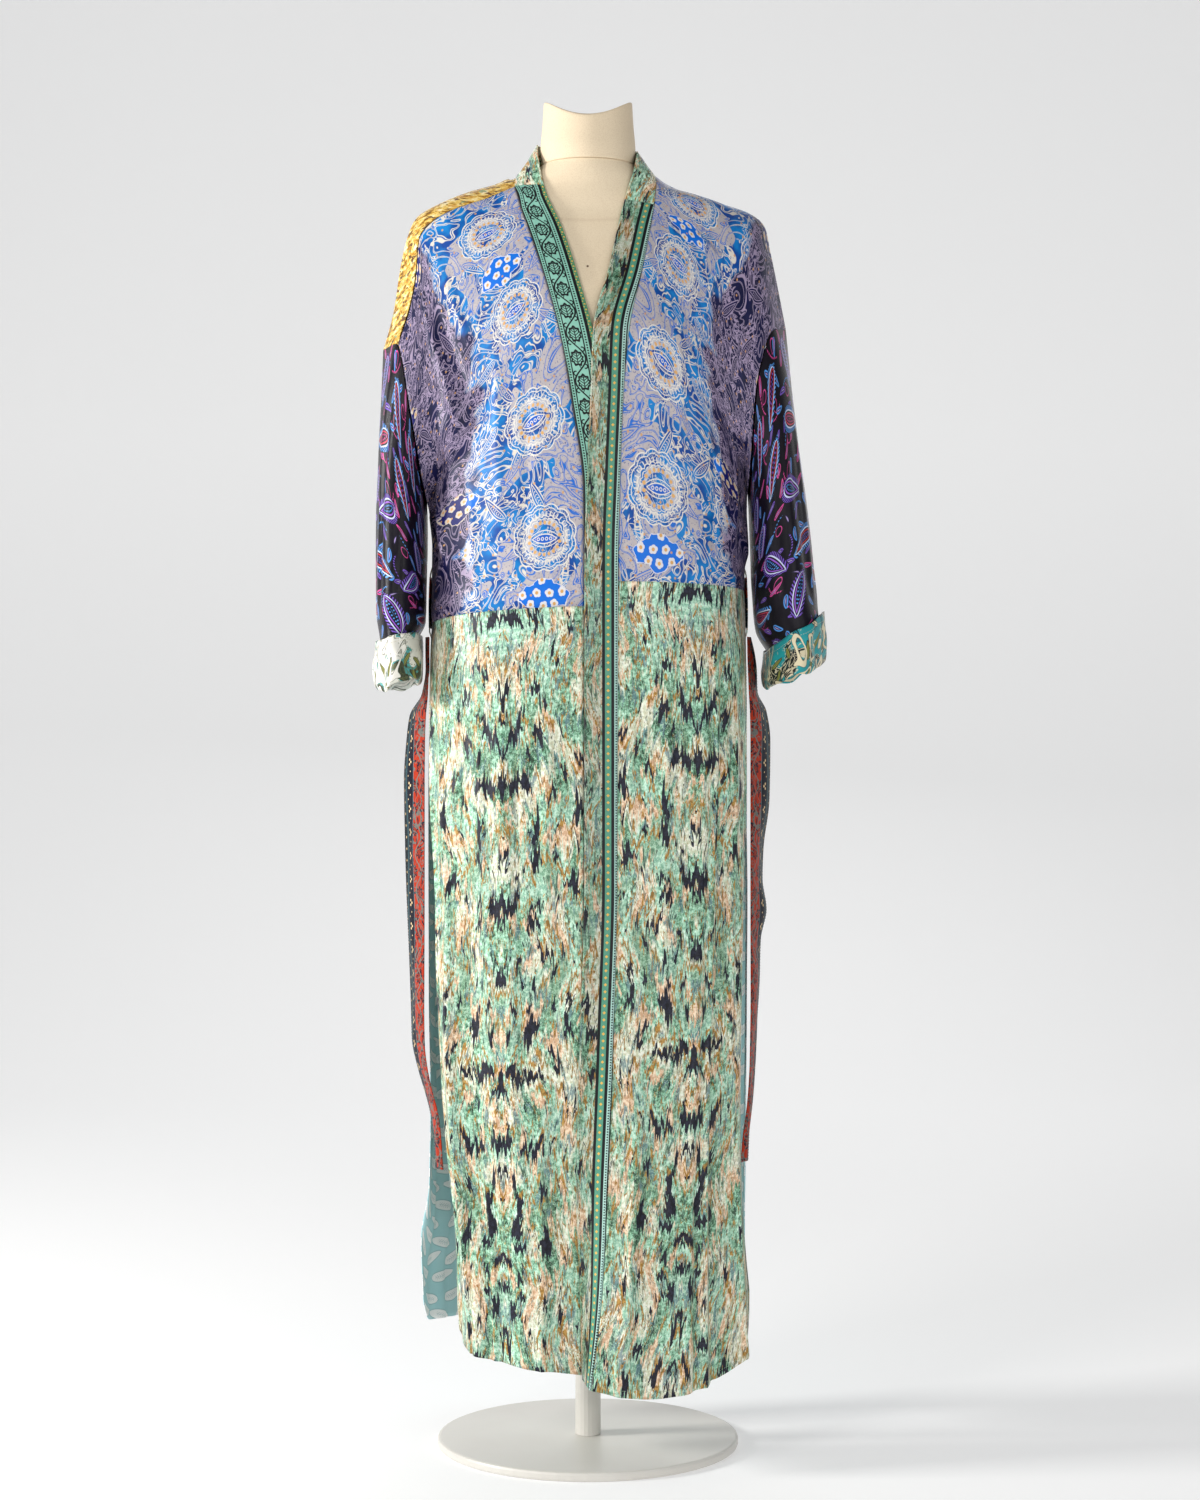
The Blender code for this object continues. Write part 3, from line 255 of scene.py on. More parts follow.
# Down the front: station, x and z of the inner and of the outer edge, lift off the chest, and forward
BAND_FRONT_ROWS = {
    "right": (
        (0.0, -0.0475, 1.3735, -0.0784, 1.372, 0.0, 0.0),
        (0.25, -0.0272, 1.322, -0.0632, 1.322, 0.0, 0.0),
        (0.5, -0.0083, 1.26, -0.0438, 1.26, 0.0, 0.0),
        (0.75, 0.0072, 1.2, -0.0283, 1.2, 0.0, 0.0),
        (1.0, 0.02, 1.13, -0.0165, 1.13, 0.0, 0.0),
        (1.4, 0.0322, 1.04, -0.0045, 1.04, 0.0, 0.0),
        (2.0, 0.033, 0.914, -0.0034, 0.914, 0.0, 0.0),
        (2.5, 0.0325, 0.52, -0.004, 0.52, 0.0, 0.0),
        (3.0, 0.03, 0.101, -0.006, 0.1, 0.0, 0.0),
    ),
    "left": (
        (0.35, 0.0425, 1.3655, 0.0724, 1.3585, 0.0, 0.0),
        (0.5, 0.036, 1.34, 0.0692, 1.336, 0.0, 0.0),
        (0.75, 0.0225, 1.276, 0.0578, 1.274, 0.0012, 0.0),
        (1.0, 0.0058, 1.2061, 0.0436, 1.2061, 0.0034, 0.0),
        (1.25, 0.0028, 1.13, 0.0372, 1.13, 0.0034, 0.0),
        (1.5, 0.0, 1.06, 0.0345, 1.06, 0.0034, 0.0),
        (2.0, -0.0032, 0.9404, 0.0322, 0.9404, 0.0034, 0.0),
        (2.4, -0.0032, 0.62, 0.031, 0.62, 0.0034, 0.001),
        (2.6, -0.0084, 0.44, 0.0268, 0.44, 0.0034, 0.006),
        (2.76, -0.0112, 0.305, 0.0215, 0.305, 0.0036, 0.015),
        (2.89, -0.0074, 0.195, 0.016, 0.195, 0.004, 0.026),
        (3.0, -0.004, 0.096, 0.004, 0.092, 0.0042, 0.0335),
    ),
}

# The shoulder seam and the line behind it, from the neck (0) to the dropped armhole (1)
SHOULDER_LINE = both_sides(
    ("along", "x", "y", "z", "x_behind", "y_behind", "z_behind"),
    (
        (0.0, 0.0784, -0.0359, 1.372, 0.088, 0.0, 1.3885),
        (0.12, 0.095, -0.0383, 1.365, 0.101, 0.0, 1.3825),
        (0.28, 0.124, -0.039, 1.356, 0.1298, 0.0, 1.3745),
        (0.44, 0.1503, -0.038, 1.3469, 0.1628, 0.0, 1.3615),
        (0.58, 0.1721, -0.034, 1.3338, 0.189, 0.0, 1.345),
        (0.68, 0.1835, -0.033, 1.3175, 0.2, 0.0, 1.318),
        (0.8, 0.187, -0.04, 1.2739, 0.2068, 0.0, 1.285),
        (0.9, 0.193, -0.046, 1.2412, 0.213, 0.0, 1.244),
        (1.0, 0.206, -0.05, 1.201, 0.2244, 0.0, 1.2017),
    ),
    (
        (0.0, 0.0675, 0.0, 1.3955, 0.078, 0.035, 1.379),
        (0.12, 0.085, 0.003, 1.3835, 0.09, 0.036, 1.372),
        (0.28, 0.115, 0.003, 1.3715, 0.118, 0.037, 1.36),
        (0.44, 0.15, 0.003, 1.3612, 0.15, 0.037, 1.35),
        (0.58, 0.18, 0.003, 1.35, 0.178, 0.036, 1.338),
        (0.68, 0.1936, 0.003, 1.337, 0.19, 0.037, 1.323),
        (0.8, 0.2002, 0.003, 1.308, 0.196, 0.04, 1.295),
        (0.9, 0.208, 0.002, 1.27, 0.202, 0.043, 1.26),
        (1.0, 0.2167, 0.0, 1.2237, 0.202, 0.046, 1.216),
    ),
)

# Half of an armhole, by the angle from its top (0) to the underarm (180). The other half mirrors it in Y.
ARMHOLE = both_sides(
    ("angle", "x", "y", "z"),
    (
        (0, 0.2244, 0.0, 1.2017),
        (45, 0.206, 0.05, 1.201),
        (90, 0.19, 0.074, 1.125),
        (135, 0.179, 0.056, 1.055),
        (180, 0.1735, 0.0, 1.018),
    ),
    (
        (0, 0.2167, 0.0, 1.2237),
        (45, 0.1985, 0.05, 1.214),
        (90, 0.18, 0.073, 1.145),
        (135, 0.175, 0.056, 1.072),
        (180, 0.1735, 0.0, 1.03),
    ),
)
ARM_START = {"right": -50.0, "left": 0.0}

# The side edges below the underarm: one seam down to the top of the vent, then two free edges
SIDE = both_sides(
    ("station", "x_front", "y_front", "z_front", "x_back", "y_back", "z_back"),
    (
        (1.0, 0.1735, 0.0, 1.018, 0.1735, 0.0, 1.018),
        (1.3, 0.1705, 0.0, 0.982, 0.1705, 0.0, 0.982),
        (2.0, 0.1715, 0.0, 0.8985, 0.1715, 0.0, 0.8985),
        (2.14, 0.1735, 0.0, 0.8, 0.1735, 0.0, 0.8),
        (2.28, 0.1715, -0.014, 0.7, 0.1755, 0.012, 0.7),
        (2.42, 0.165, -0.028, 0.6, 0.176, 0.022, 0.6),
        (2.57, 0.1628, -0.035, 0.49, 0.176, 0.028, 0.49),
        (2.72, 0.156, -0.038, 0.38, 0.1745, 0.03, 0.38),
        (2.86, 0.145, -0.04, 0.28, 0.176, 0.03, 0.28),
        (2.94, 0.142, -0.04, 0.22, 0.185, 0.031, 0.22),
        (3.0, 0.141, -0.041, 0.176, 0.1835, 0.034, 0.17),
    ),
    (
        (1.0, 0.1735, 0.0, 1.03, 0.1735, 0.0, 1.03),
        (1.3, 0.1705, 0.0, 0.995, 0.1705, 0.0, 0.995),
        (2.0, 0.1715, 0.0, 0.935, 0.1715, 0.0, 0.935),
        (2.18, 0.1735, 0.0, 0.8, 0.1735, 0.0, 0.8),
        (2.31, 0.1722, -0.014, 0.7, 0.1745, 0.012, 0.7),
        (2.44, 0.1682, -0.028, 0.6, 0.1745, 0.022, 0.6),
        (2.59, 0.1661, -0.035, 0.49, 0.1745, 0.028, 0.49),
        (2.73, 0.165, -0.038, 0.38, 0.174, 0.03, 0.38),
        (2.86, 0.1665, -0.04, 0.28, 0.1735, 0.031, 0.28),
        (2.94, 0.1705, -0.04, 0.22, 0.1735, 0.032, 0.22),
        (3.0, 0.1747, -0.041, 0.176, 0.173, 0.034, 0.17),
    ),
)
BACK_CENTRE = Table(
    ("station", "y", "z"),
    (
        (0.0, 0.083, 1.392),
        (0.16, 0.1, 1.365),
        (0.4, 0.109, 1.305),
        (0.7, 0.112, 1.225),
        (1.0, 0.1125, 1.13),
        (1.5, 0.112, 1.01),
        (2.0, 0.113, 0.912),
        (2.2, 0.117, 0.77),
        (2.5, 0.119, 0.53),
        (3.0, 0.122, 0.12),
    ),
)
# How a front's level section turns from its edge to its side, and how flat it stays first
TURN = Table(
    ("station", "degrees", "flatness"),
    ((0.0, 50, 1.0), (0.7, 55, 1.1), (1.0, 78, 1.2), (1.4, 90, 1.25), (2.2, 90, 1.2), (3.0, 84, 1.1)),
)

# %% [markdown]
# Printed cloth is a pattern in ink, and a shader can compute one. Written as nodes, the sums would be hard
# to read, so a small class wraps an output socket and lets Python's own sums build the Math nodes.

# %% Sums on sockets
def math_node(operation, reflected=False):
    """A method that adds one Math node, with the field first or, reflected, second."""

    def method(self, *others):
        values = (*others, self) if reflected else (self, *others)
        return self.finish.node("ShaderNodeMath", {"operation": operation}, dict(enumerate(values)))

    return method


class Field:
    """A number that varies over a surface: one output socket, on which sums add Math nodes."""

    def __init__(self, finish, socket):
        self.finish = finish
        self.socket = socket

    __add__, __radd__ = math_node("ADD"), math_node("ADD", reflected=True)
    __sub__, __rsub__ = math_node("SUBTRACT"), math_node("SUBTRACT", reflected=True)
    __mul__, __rmul__ = math_node("MULTIPLY"), math_node("MULTIPLY", reflected=True)
    __truediv__, __rtruediv__ = math_node("DIVIDE"), math_node("DIVIDE", reflected=True)
    __mod__, __pow__, __abs__ = math_node("FLOORED_MODULO"), math_node("POWER"), math_node("ABSOLUTE")
    floor, sine, cosine, root = (math_node(name) for name in ("FLOOR", "SINE", "COSINE", "SQRT"))
    lower, higher = math_node("MINIMUM"), math_node("MAXIMUM")
    # upward.angle(sideways) is the angle of a point
    angle = math_node("ARCTAN2")

    def rise(self, start, end):
        """0 below start, 1 above end, and a soft step between, whichever of the two is larger."""
        settings = {"interpolation_type": "SMOOTHSTEP"}
        return self.finish.node("ShaderNodeMapRange", settings, {0: self, 1: start, 2: end, 3: 0.0, 4: 1.0})

    def inside(self, edge, soft):
        """1 where the field is under an edge, with a soft border."""
        return self.rise(edge + soft, edge - soft)

    def line(self, place, half_width, soft):
        """1 on a line where the field has the value place."""
        return abs(self - place).inside(half_width, soft)

# %% [markdown]
# A finish is one material. Its node method takes a node's type, its settings and the values or links of its
# sockets. Cloth is satin: a soft highlight, a little sheen, and threads that roughen it, so every cloth
# shares one weave. Only what changes over the cloth is linked, and the rest is set on the shader's own
# sockets.

# %% A finish and its nodes
class Finish:
    """A material, with short ways to add its nodes."""

    def __init__(self, name, sheen=0.04, specular=0.3, coat=0.0):
        self.material = bpy.data.materials.new(name)
        self.material.use_nodes = True
        self.tree = self.material.node_tree
        self.shader = self.tree.nodes["Principled BSDF"]
        self.set_shader({"Sheen Weight": sheen, "Sheen Roughness": 0.4})
        self.set_shader({"Specular IOR Level": specular, "Coat Weight": coat})

    def feed(self, socket, value):
        """Links a field to a socket, or sets the socket to a plain value."""
        if isinstance(value, Field):
            self.tree.links.new(value.socket, socket)
        elif socket.type == "RGBA":
            socket.default_value = (*value[:3], 1.0)
        else:
            socket.default_value = value

    def set_shader(self, inputs):
        for key, value in inputs.items():
            self.feed(self.shader.inputs[key], value)

    def node(self, kind, settings=None, inputs=None, output=0):
        """Adds a node: its settings first, then its sockets' values or links. Returns one output."""
        node = self.tree.nodes.new(kind)
        for key, value in (settings or {}).items():
            if key == "stops":
                ramp = node.color_ramp
                while len(ramp.elements) < len(value):
                    ramp.elements.new(0.5)
                for element, (place, colour) in zip(ramp.elements, value):
                    element.position = place
                    element.color = (*colour, 1.0)
            else:
                setattr(node, key, value)
        for key, value in (inputs or {}).items():
            self.feed(node.inputs[key], value)
        return Field(self, node.outputs[output])

    def vector(self, x, y, z=0.0):
        return self.node("ShaderNodeCombineXYZ", inputs={0: x, 1: y, 2: z})

    def parts(self, vector, scale=1.0):
        """A vector's first two parts, scaled."""
        split = self.node("ShaderNodeSeparateXYZ", inputs={0: vector}).socket.node
        return tuple(Field(self, split.outputs[i]) * scale for i in range(2))

    def cloth(self):
        """Millimetres across and down the cloth, from its own map."""
        return self.parts(self.node("ShaderNodeUVMap", {"uv_map": "cloth"}), 1000.0)

    def panel(self):
        """Where a point is on its panel: across from 0 to 1, and down from 0 to 1."""
        return self.parts(self.node("ShaderNodeUVMap", {"uv_map": "panel"}))

    def noise(self, x, y, size, detail=2.0, seed=0.0, rough=0.5, warp=0.0):
        """Cloudy noise from about 0 to 1, whose blots are size apart."""
        inputs = {"Vector": self.vector(x, y, seed * size), "Scale": 1.0 / size, "Detail": detail}
        return self.node("ShaderNodeTexNoise", inputs={**inputs, "Roughness": rough, "Distortion": warp})

    def chance(self, x, y, seed=0.0):
        """One random number for each pair of whole numbers."""
        return self.node("ShaderNodeTexWhiteNoise", inputs={"Vector": self.vector(x, y, seed)})

    def place(self):
        """A point's own place on the object."""
        return self.node("ShaderNodeTexCoord", output=3)

    def grain(self, place, scale, detail=2.0):
        """Noise at a place in the object's own space."""
        return self.node("ShaderNodeTexNoise", inputs={"Vector": place, "Scale": scale, "Detail": detail})

    def mix(self, share, first, second, blend="MIX"):
        """From the first colour to the second by a share."""
        settings = {"data_type": "RGBA", "blend_type": blend}
        return self.node("ShaderNodeMix", settings, {0: share, 6: first, 7: second}, output=2)

    def layers(self, ground, *inks):
        """A ground colour, with each pair of mask and ink printed on it in turn."""
        colour = ground
        for mask, dye in inks:
            colour = self.mix(mask, colour, dye)
        return colour

    def ramp(self, value, stops):
        return self.node("ShaderNodeValToRGB", {"stops": stops}, {0: value})

    def paint(self, colour, roughness=0.5, height=None, depth=0.0002, strength=0.5):
        """Gives the shader its colour, its roughness and, where there is a height, a bump."""
        self.set_shader({"Base Color": colour, "Roughness": roughness})
        if height is not None:
            bump = {"Height": height, "Distance": depth, "Strength": strength}
            self.set_shader({"Normal": self.node("ShaderNodeBump", inputs=bump)})
        return self.material


def ink(red, green, blue):
    """A colour picked on a screen, from 0 to 255, as the linear values that a shader takes."""
    shares = (part / 255 for part in (red, green, blue))
    return tuple(share / 12.92 if share < 0.04 else ((share + 0.055) / 1.055) ** 2.4 for share in shares)

# %% Weave, cells and paisleys, which several prints share
THREAD_PITCH = 0.45
WEAVE_DEPTH = 0.00016


def woven(finish, u, v, colour, roughness=0.36, spread=0.16, relief=None, strength=0.4):
    """Paints a colour on a satin weave: fine threads, and slubs along the weft. Relief stands out of it."""
    pitch = 2 * math.pi / THREAD_PITCH
    slub = finish.noise(u * 0.12, v, 0.9, detail=3.0, seed=4.0)
    threads = (u * pitch).sine() * (v * pitch).sine() * 0.25 + slub
    height = threads if relief is None else threads + relief * 0.4
    return finish.paint(colour, threads * spread + roughness, height, WEAVE_DEPTH, strength)


def cells(finish, u, v, wide, tall, turn=0.0, seed=0.0, jitter=0.0, stagger=0.5):
    """Staggered cells of a repeat: a point's place in its cell, turned by chance, and the chance."""
    row = (v / tall).floor()
    shift = u / wide + (row % 2.0) * stagger
    column = shift.floor()
    chance = finish.chance(column, row, seed)
    x = (shift - column - 0.5) * wide
    y = (v / tall - row - 0.5) * tall
    if jitter:
        x = x + (finish.chance(column, row, seed + 1.7) - 0.5) * (2 * jitter)
        y = y + (finish.chance(column, row, seed + 2.9) - 0.5) * (2 * jitter)
    if turn == 0.0:
        return x, y, chance
    angle = (chance - 0.5) * turn
    sine, cosine = angle.sine(), angle.cosine()
    return x * cosine - y * sine, x * sine + y * cosine, chance


def distance(x, y):
    return (x * x + y * y).root()


def paisley(x, y, length, width, bend):
    """How far a point is outside a paisley with its tip at the top, and how far from its middle line."""
    up = (y / length + 0.42).higher(0.0).lower(1.0)
    beyond = abs(y / length + 0.42 - up) * length
    side = x - up * up * bend
    half = up.root() * (1 - up) ** 0.8 * (width * 1.05)
    return abs(side) - half + beyond, side

# %% [markdown]
# A piece of cloth is a grid laid on its surface. The grid is fine enough for creases, about 4 mm a square.
# Two maps go with it: one in metres along and down the cloth, for prints that must not stretch, and one
# from 0 to 1 across the panel, for colours that change from the front edge to the side. A Solidify modifier
# then gives the cloth its thickness outwards, and the piece replaces the plain solid that it covers.

# %% Laying cloth
CLOTH_WALL = 0.0009
BAND_WALL = 0.0018
SASH_WALL = 0.0012
WELD = 0.00002
ROBE = bpy.data.collections.new("robe")
bpy.context.scene.collection.children.link(ROBE)


def lengths_along(places):
    """The distance along a row of points, from 0 at its start."""
    total = [0.0]
    for before, after in zip(places, places[1:]):
        total.append(total[-1] + (after - before).length)
    return total


def map_cloth(bm, grid, columns, rows, zero_column):
    """Writes both maps on the grid, measuring across each row and down the average column."""
    across = [lengths_along([grid[i, j].co for i in range(columns)]) for j in range(rows)]
    down = [lengths_along([grid[i, j].co for j in range(rows)]) for i in range(columns)]
    mean_down = [sum(down[i][j] for i in range(columns)) / columns for j in range(rows)]
    cloth_map = bm.loops.layers.uv.new("cloth")
    panel_map = bm.loops.layers.uv.new("panel")
    place = {vert: key for key, vert in grid.items()}
    for face in bm.faces:
        for loop in face.loops:
            i, j = place[loop.vert]
            loop[cloth_map].uv = (across[j][i] - across[j][zero_column], mean_down[j])
            loop[panel_map].uv = (i / (columns - 1), j / (rows - 1))
    width = sum(row[-1] for row in across) / rows
    return width, mean_down[-1]


def face_outwards(bm, axis):
    """Turns all faces round if they mostly look towards an upright axis."""
    bm.normal_update()
    looking_out = 0.0
    for face in bm.faces:
        middle = face.calc_center_median()
        away = Vector((middle.x - axis[0], middle.y - axis[1], 0))
        looking_out += face.calc_area() * face.normal.dot(away)
    if looking_out < 0:
        bmesh.ops.reverse_faces(bm, faces=bm.faces)


def lay_grid(bm, point_at, columns, rows):
    """A grid with each corner at point_at(column, row). Returns the corners by their numbers."""
    bmesh.ops.create_grid(bm, x_segments=len(columns) - 1, y_segments=len(rows) - 1, size=1)
    grid = {}
    for vert in bm.verts:
        i = round((vert.co.x + 1) / 2 * (len(columns) - 1))
        j = round((vert.co.y + 1) / 2 * (len(rows) - 1))
        vert.co = point_at(columns[i], rows[j])
        grid[i, j] = vert
    return grid


def make_piece(name, bm, material, smooth=True, collection=ROBE):
    """An object of the finished mesh in its material."""
    mesh = bpy.data.meshes.new(name)
    bm.to_mesh(mesh)
    bm.free()
    if smooth:
        mesh.shade_smooth()
    mesh.materials.append(material)
    piece = bpy.data.objects.new(name, mesh)
    collection.objects.link(piece)
    return piece


def lay_cloth(name, point_at, columns, rows, finish, wall=CLOTH_WALL, axis=(0.0, 0.0), zero=0, offset=1.0):
    """A named piece of cloth through point_at(column, row), with its maps, its wall and its finish."""
    bm = bmesh.new()
    grid = lay_grid(bm, point_at, columns, rows)
    flat = map_cloth(bm, grid, len(columns), len(rows), zero)
    bmesh.ops.remove_doubles(bm, verts=bm.verts, dist=WELD)
    face_outwards(bm, axis)
    piece = make_piece(name, bm, finish)
    solidify = piece.modifiers.new("thickness", "SOLIDIFY")
    solidify.thickness = wall
    solidify.offset = offset
    print(f"{name}: {flat[0] * 1000:.0f} by {flat[1] * 1000:.0f} mm, {len(piece.data.polygons)} squares")
    return piece


def dress(piece, node, sewing=()):
    """The piece stands for its solid, which is hidden, and the piece and its sewing hang from the root."""
    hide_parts(node)
    for part in (piece, *sewing):
        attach(part, "root")

# %% [markdown]
# A sewing machine leaves a row of short stitches about six millimetres inside a hem and two inside a folded
# edge. Here each stitch is a small lozenge of thread. It is drawn in to the nearest point of the finished
# cloth and turned along its line, so the row follows every crease.

# %% Sewing
STITCH_PITCH = 0.0033
STITCH_LENGTH = 0.0023
STITCH_WIDTH = 0.0006
HEM_IN = 0.0082
SIDE_IN = 0.965
NEAR = 0.004


def thread_finish(name, colour):
    finish = Finish(name, sheen=0.1, specular=0.4)
    twist = finish.grain(finish.place(), 1500.0)
    shade = finish.mix(twist.rise(0.35, 0.65), tuple(part * 0.6 for part in colour), colour)
    return finish.paint(shade, twist * 0.2 + 0.4, twist, depth=0.0001, strength=0.4)


def sew(cloth, lines, thread):
    """Stitches on a cloth along lines of points that run just outside it."""
    surface = BVHTree.FromObject(cloth, bpy.context.evaluated_depsgraph_get())
    bm = bmesh.new()
    stitch_size = Matrix.Diagonal((STITCH_LENGTH / 2, STITCH_WIDTH / 2, STITCH_WIDTH / 2, 1))
    for points in lines:
        lengths = lengths_along(points)
        number = 0
        count = round(lengths[-1] / STITCH_PITCH)
        for place in spaced(STITCH_PITCH / 2, lengths[-1] - STITCH_PITCH / 2, count - 1):
            while lengths[number + 1] < place:
                number += 1
            share = (place - lengths[number]) / (lengths[number + 1] - lengths[number])
            spot, normal, *_ = surface.find_nearest(points[number].lerp(points[number + 1], share))
            side = normal.cross(points[number + 1] - points[number]).normalized()
            turn = Matrix((side.cross(normal), side, normal)).transposed().to_4x4()
            place_matrix = Matrix.Translation(spot) @ turn @ stitch_size
            bmesh.ops.create_icosphere(bm, subdivisions=1, radius=1, matrix=place_matrix)
    stitches = make_piece(cloth.name + "_stitches", bm, thread, smooth=False)
    print(f"{stitches.name}: {len(stitches.data.polygons) // 20} stitches")
    return stitches


def just_outside(points):
    return [point + outward(point) * NEAR for point in points]


THREAD_GREEN = thread_finish("green_thread", ink(150, 176, 142))
THREAD_DARK = thread_finish("dark_thread", ink(28, 40, 42))
THREAD_CREAM = thread_finish("cream_thread", ink(214, 206, 180))

# %% [markdown]
# Cloth that hangs from the shoulders falls in folds. Each is a soft ridge or trough that wanders a little
# as it runs down its panel. The large ones are in the plain solid too. The creases are finer and belong to
# the cloth alone. No two are alike in length, depth or spacing, and the hidden back has its own.

# %% Folds and creases
# A fold or crease: its place across the panel at its start and end, its width, height and stations
FOLDS = {
    "front_right": (
        (0.7, 0.66, 0.09, 0.007, 0.45, 1.9),
        (0.88, 0.84, 0.06, -0.006, 0.55, 1.75),
        (0.8, 0.6, 0.07, 0.0075, 2.35, 3.2),
        (0.6, 0.46, 0.07, -0.0045, 2.25, 3.2),
        (0.36, 0.26, 0.08, 0.006, 2.05, 3.2),
        (0.93, 0.9, 0.05, -0.004, 2.3, 3.2),
    ),
    "front_left": (
        (0.9, 0.88, 0.07, 0.006, 0.45, 1.9),
        (0.44, 0.42, 0.05, 0.006, 2.05, 3.2),
        (0.6, 0.62, 0.07, -0.0045, 2.2, 3.2),
        (0.8, 0.82, 0.07, 0.006, 2.25, 3.2),
        (0.2, 0.24, 0.07, -0.004, 2.35, 3.2),
    ),
    "back": (
        (-0.82, -0.8, 0.07, 0.0065, 2.15, 3.2),
        (-0.55, -0.58, 0.08, 0.0085, 2.05, 3.2),
        (-0.3, -0.36, 0.07, -0.005, 2.15, 3.2),
        (-0.12, -0.1, 0.08, 0.008, 2.0, 3.2),
        (0.24, 0.2, 0.09, 0.007, 2.1, 3.2),
        (0.42, 0.42, 0.06, -0.005, 2.2, 3.2),
        (0.62, 0.66, 0.08, 0.0085, 2.05, 3.2),
        (0.86, 0.86, 0.06, 0.006, 2.2, 3.2),
        (-0.45, -0.4, 0.1, 0.005, 0.75, 1.78),
        (0.46, 0.38, 0.09, 0.0055, 0.75, 1.78),
    ),
}
CREASES = {
    "front_right": (
        (0.78, 0.62, 0.022, 0.004, 0.12, 0.85),
        (0.7, 0.55, 0.03, -0.0022, 0.15, 0.8),
        (0.6, 0.5, 0.018, 0.0014, 0.1, 0.55),
        (0.95, 0.72, 0.034, -0.005, 0.66, 1.6),
        (0.86, 0.62, 0.026, 0.0042, 0.72, 1.8),
        (0.99, 0.82, 0.022, 0.0028, 0.92, 1.5),
        (0.4, 0.34, 0.03, 0.0016, 0.6, 1.7),
        (0.22, 0.25, 0.026, -0.0012, 0.8, 1.95),
        (0.52, 0.47, 0.022, 0.0016, 1.2, 2.05),
        (0.14, 0.16, 0.02, 0.0014, 2.02, 2.55),
        (0.3, 0.27, 0.022, -0.0016, 2.02, 2.8),
        (0.47, 0.4, 0.024, 0.0022, 2.03, 2.95),
        (0.58, 0.56, 0.02, -0.0018, 2.01, 2.5),
        (0.72, 0.7, 0.024, 0.0026, 2.1, 3.1),
        (0.86, 0.84, 0.02, 0.002, 2.05, 2.7),
        (0.18, 0.22, 0.026, 0.0022, 2.55, 3.2),
        (0.52, 0.5, 0.022, 0.0024, 2.6, 3.2),
        (0.66, 0.7, 0.018, -0.002, 2.65, 3.2),
        (0.95, 0.9, 0.022, 0.0018, 2.5, 3.2),
    ),
    "front_left": (
        (0.84, 0.72, 0.026, 0.0022, 0.12, 0.75),
        (0.7, 0.6, 0.02, 0.0012, 0.1, 0.5),
        (0.95, 0.84, 0.026, -0.0026, 0.7, 1.6),
        (0.8, 0.7, 0.026, 0.0018, 0.75, 1.8),
        (0.3, 0.32, 0.03, 0.0012, 0.7, 1.8),
        (0.55, 0.52, 0.028, -0.0012, 0.9, 1.95),
        (0.1, 0.11, 0.018, -0.001, 2.02, 2.6),
        (0.24, 0.24, 0.024, 0.0016, 2.03, 2.8),
        (0.52, 0.53, 0.02, 0.0028, 2.02, 3.2),
        (0.58, 0.59, 0.018, -0.0024, 2.04, 3.2),
        (0.35, 0.36, 0.024, -0.0014, 2.2, 3.0),
        (0.7, 0.72, 0.022, 0.0018, 2.06, 2.75),
        (0.9, 0.91, 0.02, -0.0016, 2.1, 2.9),
        (0.14, 0.1, 0.026, 0.0026, 2.6, 3.2),
        (0.45, 0.47, 0.022, -0.002, 2.62, 3.2),
        (0.8, 0.84, 0.022, 0.0024, 2.66, 3.2),
    ),
    "back": (
        (-0.88, -0.7, 0.026, 0.0024, 0.7, 1.5),
        (0.86, 0.68, 0.026, 0.0024, 0.72, 1.55),
        (-0.7, -0.64, 0.02, -0.0016, 0.5, 1.3),
        (0.62, 0.58, 0.022, 0.0016, 0.55, 1.4),
        (-0.2, -0.16, 0.024, 0.0014, 0.8, 1.7),
        (0.12, 0.1, 0.02, -0.0012, 0.9, 1.75),
        (-0.92, -0.9, 0.018, -0.0018, 2.2, 3.0),
        (-0.7, -0.68, 0.02, 0.002, 2.15, 3.2),
        (-0.42, -0.44, 0.022, 0.0018, 2.1, 3.2),
        (-0.2, -0.24, 0.018, 0.0016, 2.12, 2.9),
        (0.04, 0.02, 0.02, -0.0016, 2.1, 3.1),
        (0.32, 0.3, 0.018, 0.002, 2.12, 3.2),
        (0.52, 0.55, 0.02, -0.0018, 2.15, 3.2),
        (0.74, 0.76, 0.02, 0.002, 2.12, 3.2),
        (0.94, 0.93, 0.016, 0.0014, 2.25, 3.0),
    ),
}
FOLD_EASE = 0.22
UPPER_CREASE = 1.6
LOWER_CREASE = 2.3
FOLD_SHARPNESS = 2.0
CREASE_SHARPNESS = 1.4
HEM_CORNER = {"front_right": (0.74, 0.052), "front_left": (0.78, 0.052), "back": (0.80, 0.048)}
HEM_LINE = {
    "front_right": Table(("across", "z"), ((0.0, 0.0), (0.3, 0.006), (0.6, 0.013), (1.0, 0.024))),
    "front_left": Table(("across", "z"), ((0.0, 0.0), (0.25, -0.011), (0.5, -0.004), (1.0, 0.032))),
    "back": Table(("across", "z"), ((0.0, 0.0), (0.6, 0.002), (1.0, 0.004))),
}

# %% [markdown]
# These functions turn the tables into cloth. Each gives one point of a surface: a front from its neckband
# to its side, the back from side to side, and the neckband from its free edge to its seam.

